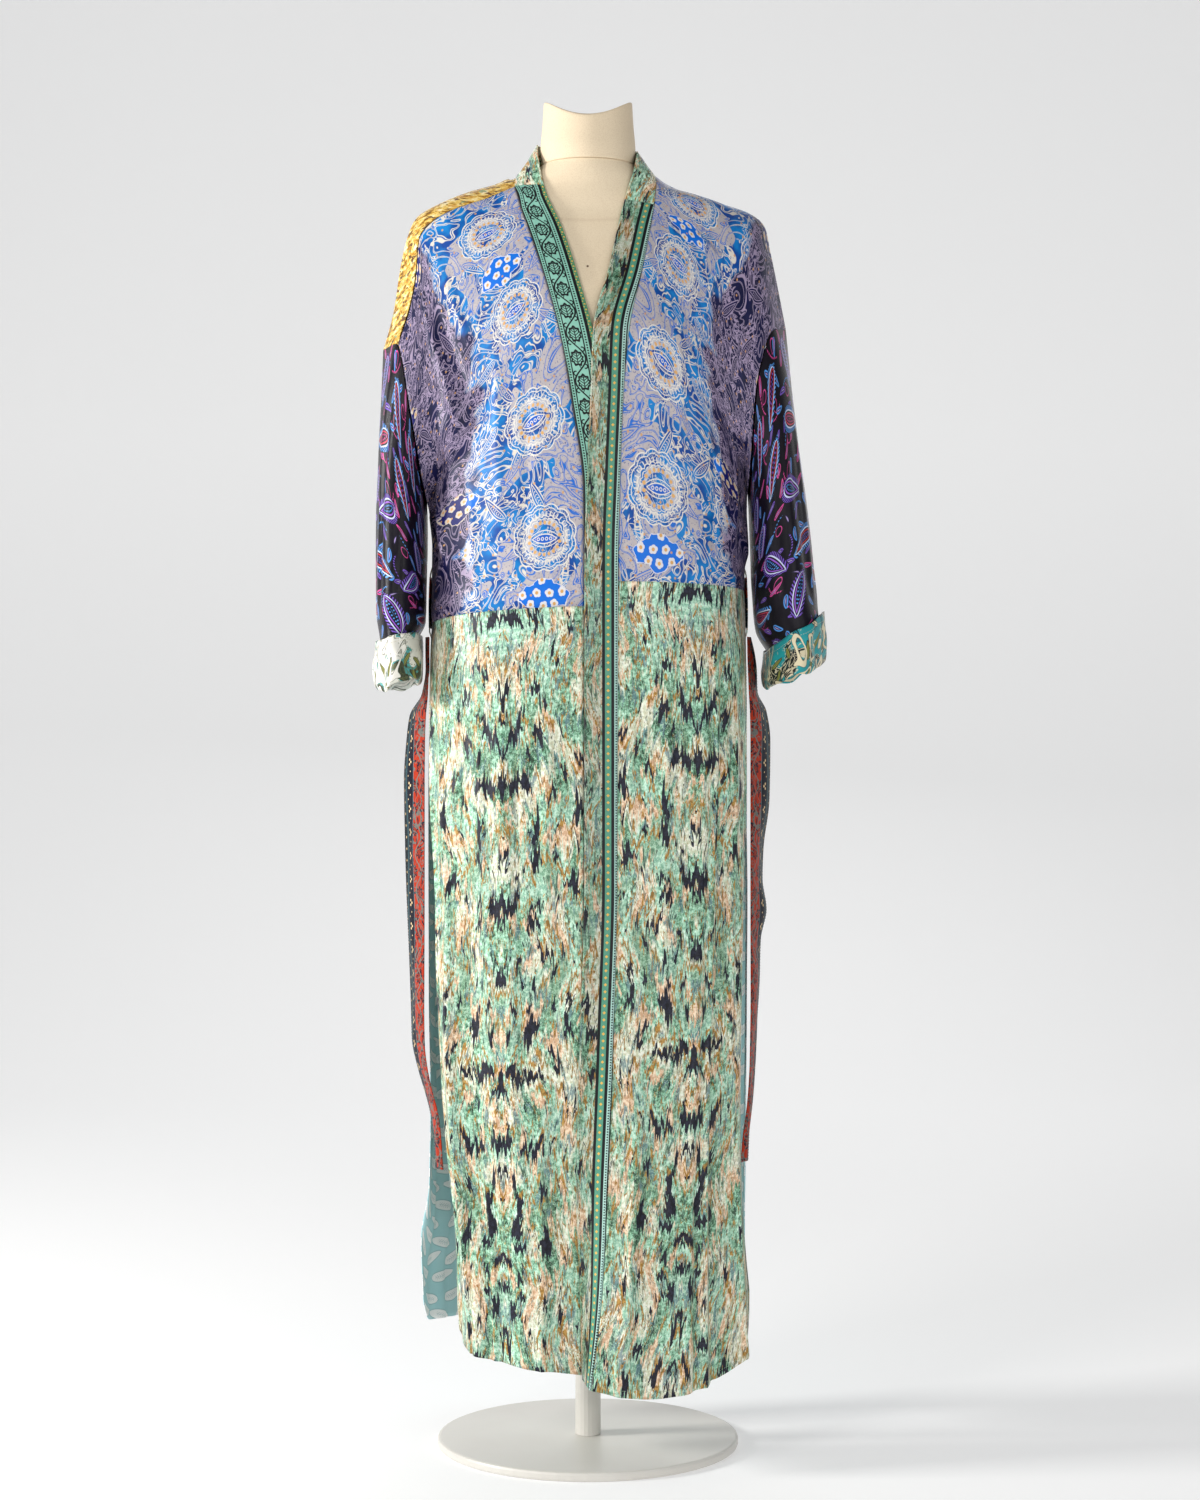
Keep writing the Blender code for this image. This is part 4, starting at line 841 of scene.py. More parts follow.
# %% The chest, and keeping clear of the form
LEVEL_POWER = 1.4
HEM_POWER = 1.5
BAND_CROWN = 0.0008
NECK_GAP_END = 0.35
FRONT_BLEND_END = 0.5
GAP_RISE = (1.26, 1.33)
ROBE_HALF_WIDTH = 0.175
ROBE_HALF_DEPTH = 0.12
BEHIND_SEAM = 0.22
SHOULDER_BLEND_END = 0.65
SHOULDER_ROUND_END = 0.75
NECK_FOOT_HEIGHT = 1.368
NECK_FOOT_DEPTH = 0.0985


def on_chest(x, z):
    """Y of cloth lying on the form's chest, which hangs plumb below the bust."""
    height = max(z, BUST_HEIGHT)
    half_width = FORM.at(height, "half_width")
    depth = FORM.at(height, "front")
    return -(depth * math.sqrt(max(0.0, 1 - (x / half_width) ** 2)) + CHEST_GAP)


def band_table(side):
    """Both edges of a side's neckband, with the depth of its front stretch worked out from the chest."""
    rows = list(BAND_NECK_ROWS[side])
    for station, x_in, z_in, x_out, z_out, lift, forward in BAND_FRONT_ROWS[side]:
        y_in = on_chest(x_in, z_in) - lift
        y_out = on_chest(x_out, z_out) - lift - forward
        rows.append((station, x_in, y_in, z_in, x_out, y_out, z_out))
    return Table(("station", "x_in", "y_in", "z_in", "x_out", "y_out", "z_out"), rows)


BAND = {side: band_table(side) for side in SIGN}


def form_reach(x, y, z):
    """How far out a point is, where 1 is the form's surface at that height."""
    depth = FORM.at(z, "front" if y < 0 else "back")
    return math.hypot(x / FORM.at(z, "half_width"), y / depth)


def form_top(x, y):
    """The height of the form's shoulder above a point, found by halving."""
    return bisect(lambda z: form_reach(x, y, z) < 1, SHOULDER_WIDEST, FORM.keys[-1], 24)[0]


def clear_of_form(point):
    """The point, pushed out or up, whichever is less, where it would come too near the dress form."""
    x, y, z = point
    if z < FORM.keys[0] - 0.01:
        return point
    gap = mix(FORM_GAP, SHOULDER_GAP, ease(z, *GAP_RISE))
    reach = form_reach(x, y, z)
    least = 1 + gap / min(FORM.at(z, "half_width"), FORM.at(z, "front"))
    if reach >= least or reach < 1e-6:
        return point
    out = math.hypot(x, y) * (least / reach - 1)
    if z > SHOULDER_WIDEST:
        up = form_top(x, y) + gap - z
        if up < out:
            return Vector((x, y, max(z, z + up)))
    return Vector((x * least / reach, y * least / reach, z))

# %% Folds, side edges and hems
def outward(point):
    """The level direction out of the robe's oval at a point."""
    return Vector((point.x / ROBE_HALF_WIDTH**2, point.y / ROBE_HALF_DEPTH**2, 0)).normalized()


def folded(point, panel, across, station):
    """The point moved out by the panel's hanging folds."""
    height = 0.0
    for lines, sharpness in ((FOLDS[panel], FOLD_SHARPNESS), (CREASES[panel], CREASE_SHARPNESS)):
        for across_start, across_end, width, rise, start, end in lines:
            share = (station - start) / (end - start)
            middle = mix(across_start, across_end, min(1.0, max(0.0, share)))
            fade = span(station, start, end, FOLD_EASE)
            lift = 1.0 if sharpness == FOLD_SHARPNESS else LOWER_CREASE if start > WAIST else UPPER_CREASE
            height += lift * rise * fade * math.exp(-(abs((across - middle) / width) ** sharpness))
    return point + outward(point) * height


def armhole(side, angle):
    """A point of the armhole seam, its front half at negative angles."""
    table = ARMHOLE[side]
    turn = abs(angle)
    y = math.copysign(table.at(turn, "y"), angle)
    return Vector((SIGN[side] * table.at(turn, "x"), y, table.at(turn, "z")))


def arm_angle(side, face, station):
    """The armhole angle that a front's or the back's row reaches between shoulder and underarm."""
    end = -180.0 if face == "front" else 180.0
    return mix(ARM_START[side], end, min(1.0, station))


def side_point(side, face, station):
    """The outer end of a row: on the armhole above the underarm, and on the side edge below it."""
    if station < UNDERARM:
        point = armhole(side, arm_angle(side, face, station))
    else:
        point = SIDE[side].point(station, "_" + face)
        point.x *= SIGN[side]
    point.y += SEAM_GAP * (-0.6 if face == "front" else 0.6)
    return point


def section(start, end, station, across):
    """A level section's point between its two ends, turning as it nears the second."""
    turn = math.radians(TURN.at(station, "degrees"))
    sideways = math.sin(across * turn) / math.sin(turn)
    inward = ((1 - math.cos(across * turn)) / (1 - math.cos(turn))) ** TURN.at(station, "flatness")
    upward = across**LEVEL_POWER
    return Vector((mix(start.x, end.x, sideways), mix(start.y, end.y, inward), mix(start.z, end.z, upward)))


def neck_gap(station):
    """The gap at the band's seam, wider round the neck where the band stands up from the panel."""
    return mix(NECKLINE_GAP, SEAM_GAP, ease(station, 0.0, NECK_GAP_END))


def hem_rise(panel, across, station):
    """How far the lower edge departs from the straight line between its ends, fading up the panel."""
    across = abs(across)
    start, radius = HEM_CORNER[panel]
    rise = HEM_LINE[panel].at(across, "z")
    if across > start:
        share = (across - start) / (1 - start)
        rise += radius * (1 - math.sqrt(max(0.0, 1 - share * share)))
    level = (HEM_LINE[panel].at(1.0, "z") + radius) * across**LEVEL_POWER
    return (rise - level) * ease(station, WAIST, HEM) ** HEM_POWER


def seam_edge(side, station):
    """Where a panel ends: a gap beyond the neckband's outer edge."""
    edge = BAND[side].point(station, "_out")
    inner = BAND[side].point(station, "_in")
    return edge + (edge - inner).normalized() * neck_gap(station)


def shoulder_point(side, along, suffix=""):
    """A point of the shoulder seam, or of the line behind it."""
    point = SHOULDER_LINE[side].point(along, suffix)
    point.x *= SIGN[side]
    return point


def finished(point, panel, across, station):
    """The point with its panel's folds and hem, clear of the form."""
    point = folded(point, panel, across, station)
    if station > WAIST:
        point.z += hem_rise(panel, across, station)
    return clear_of_form(point)

# %% Points of the fronts, the back and the neckband
def front_point(side, across, station):
    """A point of a front, from the band (0) to the side (1) and from shoulder (0) to hem (3)."""
    edge = seam_edge(side, station)
    end = side_point(side, "front", station)
    point = section(edge, end, station, across)
    top, first, last = (shoulder_point(side, along) for along in (across, 0, 1))
    top += (edge - first) * (1 - across) + (end - last) * across
    top.y -= SHOULDER_SEAM_GAP / 2
    point = top.lerp(point, ease(station, 0.0, FRONT_BLEND_END))
    return finished(point, "front_" + side, across, station)


def back_point(across, station):
    """A point of the back, from the wearer's right side (-1) over the centre (0) to the left side (1)."""
    side = "right" if across < 0 else "left"
    reach = abs(across)
    centre = Vector((0, BACK_CENTRE.at(station, "y"), BACK_CENTRE.at(station, "z")))
    end = side_point(side, "back", station)
    point = section(centre, end, station, reach)
    along = max(0.0, (reach - NECK_SHARE) / (1 - NECK_SHARE))
    if reach < NECK_SHARE:
        share = reach / NECK_SHARE
        top = seam_edge(side, mix(BACK_NECK, SHOULDER, share))
        foot = shoulder_point(side, 0, "_behind")
        quarter = share * math.pi / 2
        row = Vector((foot.x * math.sin(quarter), 0, mix(NECK_FOOT_HEIGHT, foot.z, share**2)))
        row.y = mix(foot.y, NECK_FOOT_DEPTH, math.cos(quarter))
    else:
        top = shoulder_point(side, along)
        top += (seam_edge(side, SHOULDER) - shoulder_point(side, 0)) * (1 - along)
        top.y += SHOULDER_SEAM_GAP / 2
        row = shoulder_point(side, along, "_behind")
    row += (side_point(side, "back", BEHIND_SEAM) - shoulder_point(side, 1, "_behind")) * along**2
    if station < BEHIND_SEAM:
        point = top.lerp(row, station / BEHIND_SEAM)
        point.z += SHOULDER_WRAP_UP[side] * math.sin(math.pi * station / BEHIND_SEAM)
    else:
        point = row.lerp(point, ease(station, BEHIND_SEAM, SHOULDER_BLEND_END))
        rounding = min(1.0, (station - BEHIND_SEAM) / (SHOULDER_ROUND_END - BEHIND_SEAM))
        round_over = math.sin(math.pi * rounding) * (1 - reach**3)
        point.y += SHOULDER_ROUND_BACK * round_over
        point.z += SHOULDER_ROUND_UP[side] * round_over
    if station < SHOULDER_BLEND_END and reach > 0.999:
        point = end
    return finished(point, "back", across, station)


def band_point(side, across, station):
    """A point of the neckband, from its free edge (0) to its seam (1), slightly crowned."""
    point = BAND[side].point(station, "_in").lerp(BAND[side].point(station, "_out"), across)
    point += outward(point) * BAND_CROWN * (1 - (2 * across - 1) ** 2)
    return clear_of_form(point)

# %% [markdown]
# The fronts' upper panels are one large print: an azure ground with cream medallions and scrolls, dots of
# gold, and towards the sleeves a navy ground crowded with fine lilac lines. Scrolls are lines where a
# smooth, warped noise passes through set values. Medallions are scalloped rings in staggered cells.

# %% Print of the upper fronts
def scrolls(finish, u, v, size, count, thin, seed, warp=1.2, soft=0.07):
    """Curling lines: where a warped noise passes through evenly spaced values."""
    cloud = finish.noise(u, v, size, detail=1.0, seed=seed, rough=0.4, warp=warp)
    steps = cloud * count
    return abs(steps - steps.floor() - 0.5).inside(thin, soft)

# %% Medallions and buds
REPEAT_WIDE = 104.0
REPEAT_TALL = 106.0


def medallions(finish, u, v):
    """Scalloped medallions: their lines, gold beads, disc, eye and pale ring."""
    x, y, _ = cells(finish, u + 8.0, v, REPEAT_WIDE, REPEAT_TALL, 0.5, seed=3.0, jitter=2.5, stagger=0.0)
    turn = y.angle(x)
    radius = (x * x * 0.85 + y * y * 1.1).root()
    scallop = abs((turn * 6).sine())
    small = abs((turn * 9).sine())
    lines = (radius - scallop * 2.6).line(29.0, 0.55, 0.25)
    lines = lines.higher((radius - scallop * 2.0).line(26.2, 0.4, 0.25))
    lines = lines.higher((radius - small * 1.6).line(20.0, 0.45, 0.25))
    lines = lines.higher((radius - small * 1.4).line(17.6, 0.35, 0.25))
    lens = abs(y) - 4.2 * (1 - (x / 13.0) ** 2.0)
    lines = lines.higher(lens.line(0.0, 0.5, 0.25) * radius.inside(13.5, 0.5))
    lines = lines.higher(lens.line(3.2, 0.4, 0.25) * radius.inside(14.0, 0.5))
    pips = distance(x % 4.4 - 2.2, y)
    lines = lines.higher(pips.line(1.3, 0.4, 0.25) * radius.inside(9.0, 0.6))
    step = turn * (18 / (2 * math.pi))
    beads = distance((step - step.floor() - 0.5) * 6.2, radius - 14.4 - small * 0.8).inside(1.8, 0.3)
    rays = (step * 2 - (step * 2).floor() - 0.5).line(0.0, 0.13, 0.1) * (radius - 23.2).line(0.0, 1.9, 0.3)
    eye = lens.inside(0.0, 0.5) * radius.inside(13.0, 0.6)
    ring = (radius - 18.0).line(0.0, 5.0, 0.5)
    return lines.higher(rays), beads, (radius - scallop * 2.6).inside(29.0, 0.4), eye, ring


def buds(finish, u, v):
    """Patches of small buds between the medallions: the patch, its buds and rim, and their gold hearts."""
    down = v + REPEAT_TALL / 2
    x, y, chance = cells(finish, u + 8.0, down, REPEAT_WIDE, REPEAT_TALL, seed=4.0, jitter=2.0, stagger=0.0)
    ragged = (finish.noise(u, v, 12.0, seed=2.0) - 0.5) * 12
    zone = distance(x * 0.8, y * 1.25) - abs((y.angle(x) * 2).cosine()) * 5.0 - ragged
    bud_x, bud_y, _ = cells(finish, u + 3.0, v + 4.0, 13.5, 12.0, 6.3, seed=9.0, jitter=1.6)
    bud = distance(bud_x, bud_y * 1.2) - abs((bud_y.angle(bud_x) * 2.5).sine()) * 0.9
    patch = zone.inside(17.0, 0.4) * chance.rise(0.42, 0.43)
    rim = zone.line(16.5, 0.5, 0.25)
    return patch, bud.inside(4.1, 0.25).higher(rim), distance(bud_x, bud_y).inside(1.7, 0.3) * patch

# %% The blue cloth
def blue_print():
    finish = Finish("blue_paisley")
    u, v = finish.cloth()
    wander = finish.noise(u, v, 42.0, seed=1.0) - 0.5
    navy_share = (u + wander * 90 + (v * 0.011).sine() * 10).rise(117.0, 129.0)
    pale_cloud = finish.noise(u, v, 36.0, detail=1.0, seed=6.0, warp=0.6) + (36.0 - u) * 0.0026
    pale_share = pale_cloud.rise(0.438, 0.448)
    sky = finish.noise(u, v, 20.0, seed=2.0).rise(0.35, 0.65)
    mist = finish.noise(u, v, 14.0, detail=4.0, seed=3.0)
    night = finish.noise(u, v, 16.0, detail=4.0, seed=5.0)
    azure = finish.mix(sky, ink(0, 66, 148), ink(4, 126, 200))
    lilac = finish.mix(mist, ink(152, 150, 164), ink(208, 196, 188))
    navy = finish.mix(night, ink(2, 2, 24), ink(10, 16, 80))
    cream = ink(220, 212, 200)
    rose = ink(160, 144, 172)
    ground = finish.mix(pale_share, azure, lilac)
    stipple = finish.noise(u, v, 1.8, detail=1.0, seed=8.0).rise(0.63, 0.67) * pale_share
    ground = finish.mix(stipple * 0.8, ground, ink(62, 76, 140))
    ground = finish.mix(navy_share, ground, navy)
    light_ink = finish.mix(navy_share, cream, rose)
    on_pale = pale_share * (1 - navy_share)
    line_ink = finish.mix(on_pale, light_ink, ink(24, 104, 200))
    crowd = finish.noise(u, v, 34.0, seed=14.0)
    big = scrolls(finish, u, v, 44.0, 7.0, 0.15, 11.0, warp=1.9, soft=0.04)
    core = scrolls(finish, u, v, 44.0, 7.0, 0.045, 11.0, warp=1.9, soft=0.03)
    middle = scrolls(finish, u, v, 26.0, 6.0, 0.11, 13.0, warp=2.0, soft=0.05) * crowd.rise(0.50, 0.51)
    fine = scrolls(finish, u, v, 12.0, 5.0, 0.09, 12.0, warp=1.5, soft=0.04)
    fine = fine * crowd.rise(0.46, 0.47) * navy_share
    line = (big - core).higher(middle * (1 - on_pale * 0.8)).higher(fine)
    lines, beads, disc, eye, ring = medallions(finish, u, v)
    patch, bud, heart = buds(finish, u, v)
    here = 1 - navy_share
    inner = finish.mix(finish.noise(u, v, 10.0, seed=19.0).rise(0.43, 0.46), azure, ink(178, 180, 194))
    small = scrolls(finish, u, v, 8.0, 5.0, 0.15, 21.0)
    leaf_x, leaf_y, leaf_chance = cells(finish, u, v + 20.0, 47.0, 38.0, 6.3, seed=15.0, jitter=4.0)
    leaf, leaf_side = paisley(leaf_x, leaf_y, 36.0, 11.0, 9.0)
    leaf_lines = leaf.line(0.0, 0.5, 0.25).higher(leaf.line(-2.4, 0.35, 0.25))
    hatch = ((leaf_y + abs(leaf_side) * 0.9) % 3.0 - 1.5).line(0.0, 0.4, 0.25) * leaf.inside(-3.4, 0.3)
    leaf_shown = leaf_chance.rise(0.34, 0.341) * (1 - disc * here) * (1 - patch)
    colour = finish.layers(
        ground,
        (line, line_ink),
        (leaf.inside(0.0, 0.3) * leaf_shown, ground),
        (leaf_lines.higher(hatch) * leaf_shown, line_ink),
        (disc * here, azure),
        (ring * here, inner),
        (disc * small * here * 0.7, cream),
        (eye * here, ink(12, 92, 196)),
        (lines * here, ink(228, 222, 212)),
        (beads * here, ink(218, 168, 106)),
        (patch, finish.mix(navy_share, ink(0, 108, 214), ink(12, 18, 100))),
        (bud * patch, finish.mix(navy_share, ink(220, 218, 220), ink(206, 192, 178))),
        (heart, ink(212, 160, 96)),
    )
    gold_x, gold_y, gold_chance = cells(finish, u, v, 13.0, 11.0, seed=5.0, jitter=2.5)
    gold = distance(gold_x, gold_y).inside(1.2, 0.3) * gold_chance.rise(0.62, 0.63)
    colour = finish.mix(gold * 0.9, colour, ink(206, 156, 100))
    return woven(finish, u, v, colour, 0.34, relief=line, strength=0.35)

# %% [markdown]
# The lower fronts are ikat: the threads were dyed before weaving, so every colour edge is feathered along
# the warp, and the pattern mirrors about upright axes. The streaks come from a noise that only depends on
# the thread, which shifts every blot up or down by its own small amount.

# %% Print of the lower fronts, the neckband and the loops
IKAT_SCALE = 0.76
IKAT_AXIS = 88.0


def ikat_colours(finish, u, v):
    """Ikat blots mirrored about one upright axis, as a colour."""
    u, v = u * IKAT_SCALE, v * IKAT_SCALE
    lean = (finish.noise(u, v, 70.0, detail=1.0, seed=0.5) - 0.5) * 34
    x = abs(u - IKAT_AXIS * IKAT_SCALE) + lean
    wide_threads = finish.noise(x, v * 0.02, 2.4, detail=1.0, seed=1.0) - 0.5
    fine_threads = finish.noise(u, v * 0.05, 1.0, detail=0.0, seed=2.0) - 0.5
    y = v + wide_threads * 34 + fine_threads * 14
    mottle = finish.noise(u, v * 0.8, 3.0, detail=4.0, seed=3.0, rough=0.7)
    cloud = finish.noise(x, y * 0.55, 15.0, detail=3.0, seed=4.0)
    tone = mottle * 0.55 + cloud * 0.45
    ground = finish.ramp(
        tone,
        (
            (0.39, ink(34, 62, 44)),
            (0.45, ink(86, 132, 102)),
            (0.50, ink(136, 190, 158)),
            (0.55, ink(178, 226, 198)),
            (0.61, ink(226, 250, 234)),
        ),
    )
    place = ((x * 0.042).cosine() + (v * 0.058).cosine() * 0.3) * 0.034
    sage = finish.noise(x, y * 0.5, 19.0, detail=3.0, seed=4.5)
    cream = finish.noise(x, y * 0.5, 22.0, detail=3.0, seed=5.0, rough=0.55)
    peach = finish.noise(x, y * 0.42, 10.0, detail=3.0, seed=6.0, rough=0.55) + (cream - 0.5) * 0.35
    ochre = finish.noise(x, y * 0.8, 5.5, seed=7.0) + (cloud - 0.5) * 0.4
    grey = finish.noise(x, y * 0.6, 9.0, detail=3.0, seed=9.0)
    night = finish.noise(x, y * 0.55, 10.5, seed=11.0) + place
    vein = finish.noise(u, v * 0.8, 4.5, seed=13.0).line(0.5, 0.012, 0.012)
    fleck = finish.noise(u, y * 0.6, 3.4, seed=15.0, rough=0.6)
    grain = mottle.rise(0.42, 0.60)

    def grained(dark, light):
        return finish.mix(grain, ink(*dark), ink(*light))

    wash = finish.noise(x, y * 0.6, 46.0, seed=17.0)
    light = wash.rise(0.46, 0.58) * 0.6
    deep = (wash + (v - 330.0) * 0.00024).rise(0.48, 0.66) * 0.5
    return finish.layers(
        ground,
        (deep, grained((46, 80, 52), (104, 152, 112))),
        (light, grained((150, 206, 180), (222, 246, 228))),
        (sage.rise(0.54, 0.62) * 0.6, grained((92, 126, 96), (128, 164, 128))),
        (cream.rise(0.52, 0.56) * 0.85, grained((214, 210, 178), (250, 246, 232))),
        (grey.rise(0.585, 0.60) * 0.8, ink(92, 124, 132)),
        (vein * 0.6, ink(206, 238, 212)),
        (peach.rise(0.575, 0.59) * 0.95, grained((208, 164, 128), (246, 222, 192))),
        (fleck.rise(0.585, 0.605) * 0.8, ink(44, 62, 48)),
        (ochre.rise(0.588, 0.598) * 0.95, grained((138, 96, 24), (188, 142, 60))),
        (night.rise(0.588, 0.598), grained((12, 12, 24), (34, 36, 54))),
    )


def ikat_print():
    finish = Finish("green_ikat")
    u, v = finish.cloth()
    return woven(finish, u, v, ikat_colours(finish, u, v))


BLUE = blue_print()
IKAT = ikat_print()

# %% [markdown]
# Now the fronts themselves. Each has a blue upper panel and a green lower one, sewn together at the waist.
# The seam is a shallow groove: within a few millimetres of it, both panels dip towards the body.

# %% Fronts
SEAM_DIP = 0.0009
SEAM_REACH = 0.030


def dipped(point, station):
    """The point in the shallow groove along the waist seam."""
    return point - outward(point) * (SEAM_DIP * math.exp(-((abs(station - WAIST) / SEAM_REACH) ** 2)))


UPPER_ROWS = spaced(0.0, 1.0, 84) + spaced(1.0, 2.0, 34)[1:]
LOWER_ROWS = spaced(2.0, 3.0, 190)
HEM_ROWS = spaced(WAIST + 0.12, HEM - HEM_IN, 160)
FRONT_ACROSS = spaced(0.0, 1.0, 72)


def make_front(side):
    """A front's two panels."""

    def place(across, station):
        return dipped(front_point(side, across, station), station)

    axis = (SIGN[side] * 0.06, 0.0)
    upper = lay_cloth("front_upper_cloth_" + side, place, FRONT_ACROSS, UPPER_ROWS, BLUE, axis=axis)
    lower = lay_cloth("front_lower_cloth_" + side, place, FRONT_ACROSS, LOWER_ROWS, IKAT, axis=axis)
    hem = [place(SIDE_IN, row) for row in HEM_ROWS]
    hem += [place(part, HEM_ROWS[-1]) for part in spaced(SIDE_IN, 0.02, 90)]
    dress(upper, "front_upper_" + side)
    dress(lower, "front_lower_" + side, sewing=[sew(lower, [just_outside(hem)], THREAD_GREEN)])


for side in SIGN:
    make_front(side)

# %% [markdown]
# The neckband is a long folded strip in three lengths: a border of leaves on the wearer's right, a border
# of stripes on the left, and plain ikat behind the neck. Borders run along the strip, so each print reads
# the millimetres from the free edge and the millimetres down the band.

# %% Border of leaves
BORDER_BLACK = ink(10, 12, 16)
BORDER_GOLD = ink(230, 180, 84)
SOFT = 0.25
LEAF_PITCH = 26.0


def stripe(u, start, end):
    """1 between two distances from the free edge."""
    return u.rise(start - SOFT, start + SOFT) * (1 - u.rise(end - SOFT, end + SOFT))


def beads(u, v, middle, pitch, radius):
    """A column of dots down the band."""
    return distance(u - middle, v % pitch - pitch / 2).inside(radius, SOFT)


def leaf_lines(u, v, middle):
    """Serrated, veined leaves on a winding stem, as black lines."""
    row = (v / LEAF_PITCH).floor()
    side = (row % 2.0) * 2 - 1
    y = LEAF_PITCH / 2 - v % LEAF_PITCH
    x = (u - middle) * side
    wave = (y * (math.pi / LEAF_PITCH)).cosine() * 7.6
    stem = (x - wave).line(0.0, 1.05, SOFT)
    leaf_x = x + 1.4
    leaf_y = y + 0.4
    turn = abs(leaf_x).angle(leaf_y)
    saw = abs((turn * 2.9) % 2.0 - 1.0)
    reach = (leaf_x * leaf_x * 1.25 + leaf_y * leaf_y * 0.72).root()
    edge = reach - 5.4 - saw * 1.7
    outline = edge.line(0.0, 1.1, SOFT)
    rib = abs(leaf_x).inside(0.55, SOFT)
    vein = ((leaf_y - abs(leaf_x) * 0.8) % 3.2 - 1.6).line(0.0, 0.58, SOFT)
    veins = rib.higher(vein) * edge.inside(-0.9, SOFT)
    stalk = abs(leaf_x + (leaf_y + 6.0) * 0.5).inside(0.5, SOFT) * (leaf_y + 9.0).line(0.0, 3.0, SOFT)
    tendril = distance(x - 5.6, abs(y) - 9.2).line(2.3, 0.7, SOFT) * x.rise(4.2, 5.0)
    return stem.higher(outline).higher(veins).higher(tendril).higher(stalk)


def vine_print():
    finish = Finish("vine_border")
    u, v = finish.cloth()
    tone = finish.noise(u, v, 9.0, detail=3.0, seed=2.0)
    ground = finish.mix(tone, ink(110, 172, 154), ink(154, 206, 188))
    black = stripe(u, 4.2, 7.6).higher(stripe(u, 12.0, 13.4))
    black = black.higher(stripe(u, 29.6, 30.9)).higher(stripe(u, 34.6, 39.6))
    dots = beads(u, v, 9.9, 2.9, 0.95).higher(beads(u, v, 32.8, 2.9, 0.95))
    leaves = leaf_lines(u, v, 21.5) * stripe(u, 13.0, 30.0)
    gold = beads(u, v, 2.0, 6.6, 1.0) + beads(u, v + 3.3, 3.4, 6.6, 0.6)
    colour = finish.layers(
        ground,
        (1 - u.rise(4.2, 4.6), finish.mix(tone, ink(70, 132, 96), ink(92, 156, 112))),
        (gold, BORDER_GOLD),
        (black.higher(dots).higher(leaves), BORDER_BLACK),
    )
    return woven(finish, u, v, colour, 0.36, 0.14)

# %% Border of stripes
def striped_print():
    finish = Finish("striped_border")
    u, v = finish.cloth()
    tone = finish.noise(u, v, 9.0, detail=3.0, seed=5.0)
    ikat = finish.mix(0.5, ikat_colours(finish, u + 140.0, v + 90.0), ink(136, 142, 140), "MULTIPLY")
    black = stripe(u, 18.5, 21.6).higher(stripe(u, 28.2, 31.4)).higher(stripe(u, 35.2, 36.8))
    squares = (abs(v % 2.8 - 1.4)).inside(0.72, 0.2) * stripe(u, 32.6, 34.3)
    star = (abs(u - 24.9) + abs(v % 7.4 - 3.7)).inside(1.7, 0.3)
    colour = finish.layers(
        ikat,
        (u.rise(18.4, 18.9), finish.mix(tone, ink(72, 134, 112), ink(96, 160, 134))),
        (u.rise(31.2, 31.5), finish.mix(tone, ink(150, 196, 184), ink(182, 216, 206))),
        (star, BORDER_GOLD),
        (black.higher(squares), BORDER_BLACK),
    )
    return woven(finish, u, v, colour, 0.36, 0.14)


VINE = vine_print()
STRIPES = striped_print()

# %% Neckband
BAND_ACROSS = spaced(0.0, 1.0, 14)
LEFT_JOIN = 0.41
JOIN_GAP = 0.0006
BAND_LIMIT_ANGLE = 50
BAND_STITCHES = (0.05, 0.95)
BAND_EDGE = 0.0006


def round_edges(piece, width):
    """Softens a folded cloth's square edges."""
    bevel = piece.modifiers.new("folded edge", "BEVEL")
    bevel.width = width
    bevel.segments = 2
    bevel.limit_method = "ANGLE"
    bevel.angle_limit = math.radians(BAND_LIMIT_ANGLE)


def make_band(name, path, finish, stitch_rows=BAND_STITCHES):
    """A length of neckband along a path of sides and stations."""

    def place(part, spot):
        side, station = spot
        return band_point(side, part, station)

    cloth = lay_cloth("band_cloth_" + name, place, BAND_ACROSS, path, finish, BAND_WALL)
    round_edges(cloth, BAND_EDGE)
    edges = [just_outside([place(part, spot) for spot in path]) for part in stitch_rows]
    dress(cloth, "band_" + name, sewing=[sew(cloth, edges, THREAD_DARK)] if edges else ())


def front_path(side, join):
    """Stations down a front, from the join at its top."""
    stations = [join + JOIN_GAP] + [station for station in spaced(0.0, 3.0, 280) if station > join + 0.004]
    return [(side, station) for station in stations]


make_band("right", front_path("right", 0.0), VINE)
make_band("left", front_path("left", LEFT_JOIN), STRIPES)
neck_path = [("right", station) for station in spaced(0.0, BACK_NECK, 44)]
behind_left = spaced(BACK_NECK, 0.0, 44)[1:] + spaced(0.0, LEFT_JOIN, 22)[1:]
neck_path += [("left", station) for station in behind_left]
make_band("neck", neck_path, IKAT, stitch_rows=())

# %% [markdown]
# The back is two more cloths. The upper one is gold, mottled with brown, and reaches over the right
# shoulder to the front. The lower one is teal with pale paisleys, each with a leaf's veins, and its edges
# show at the vents.

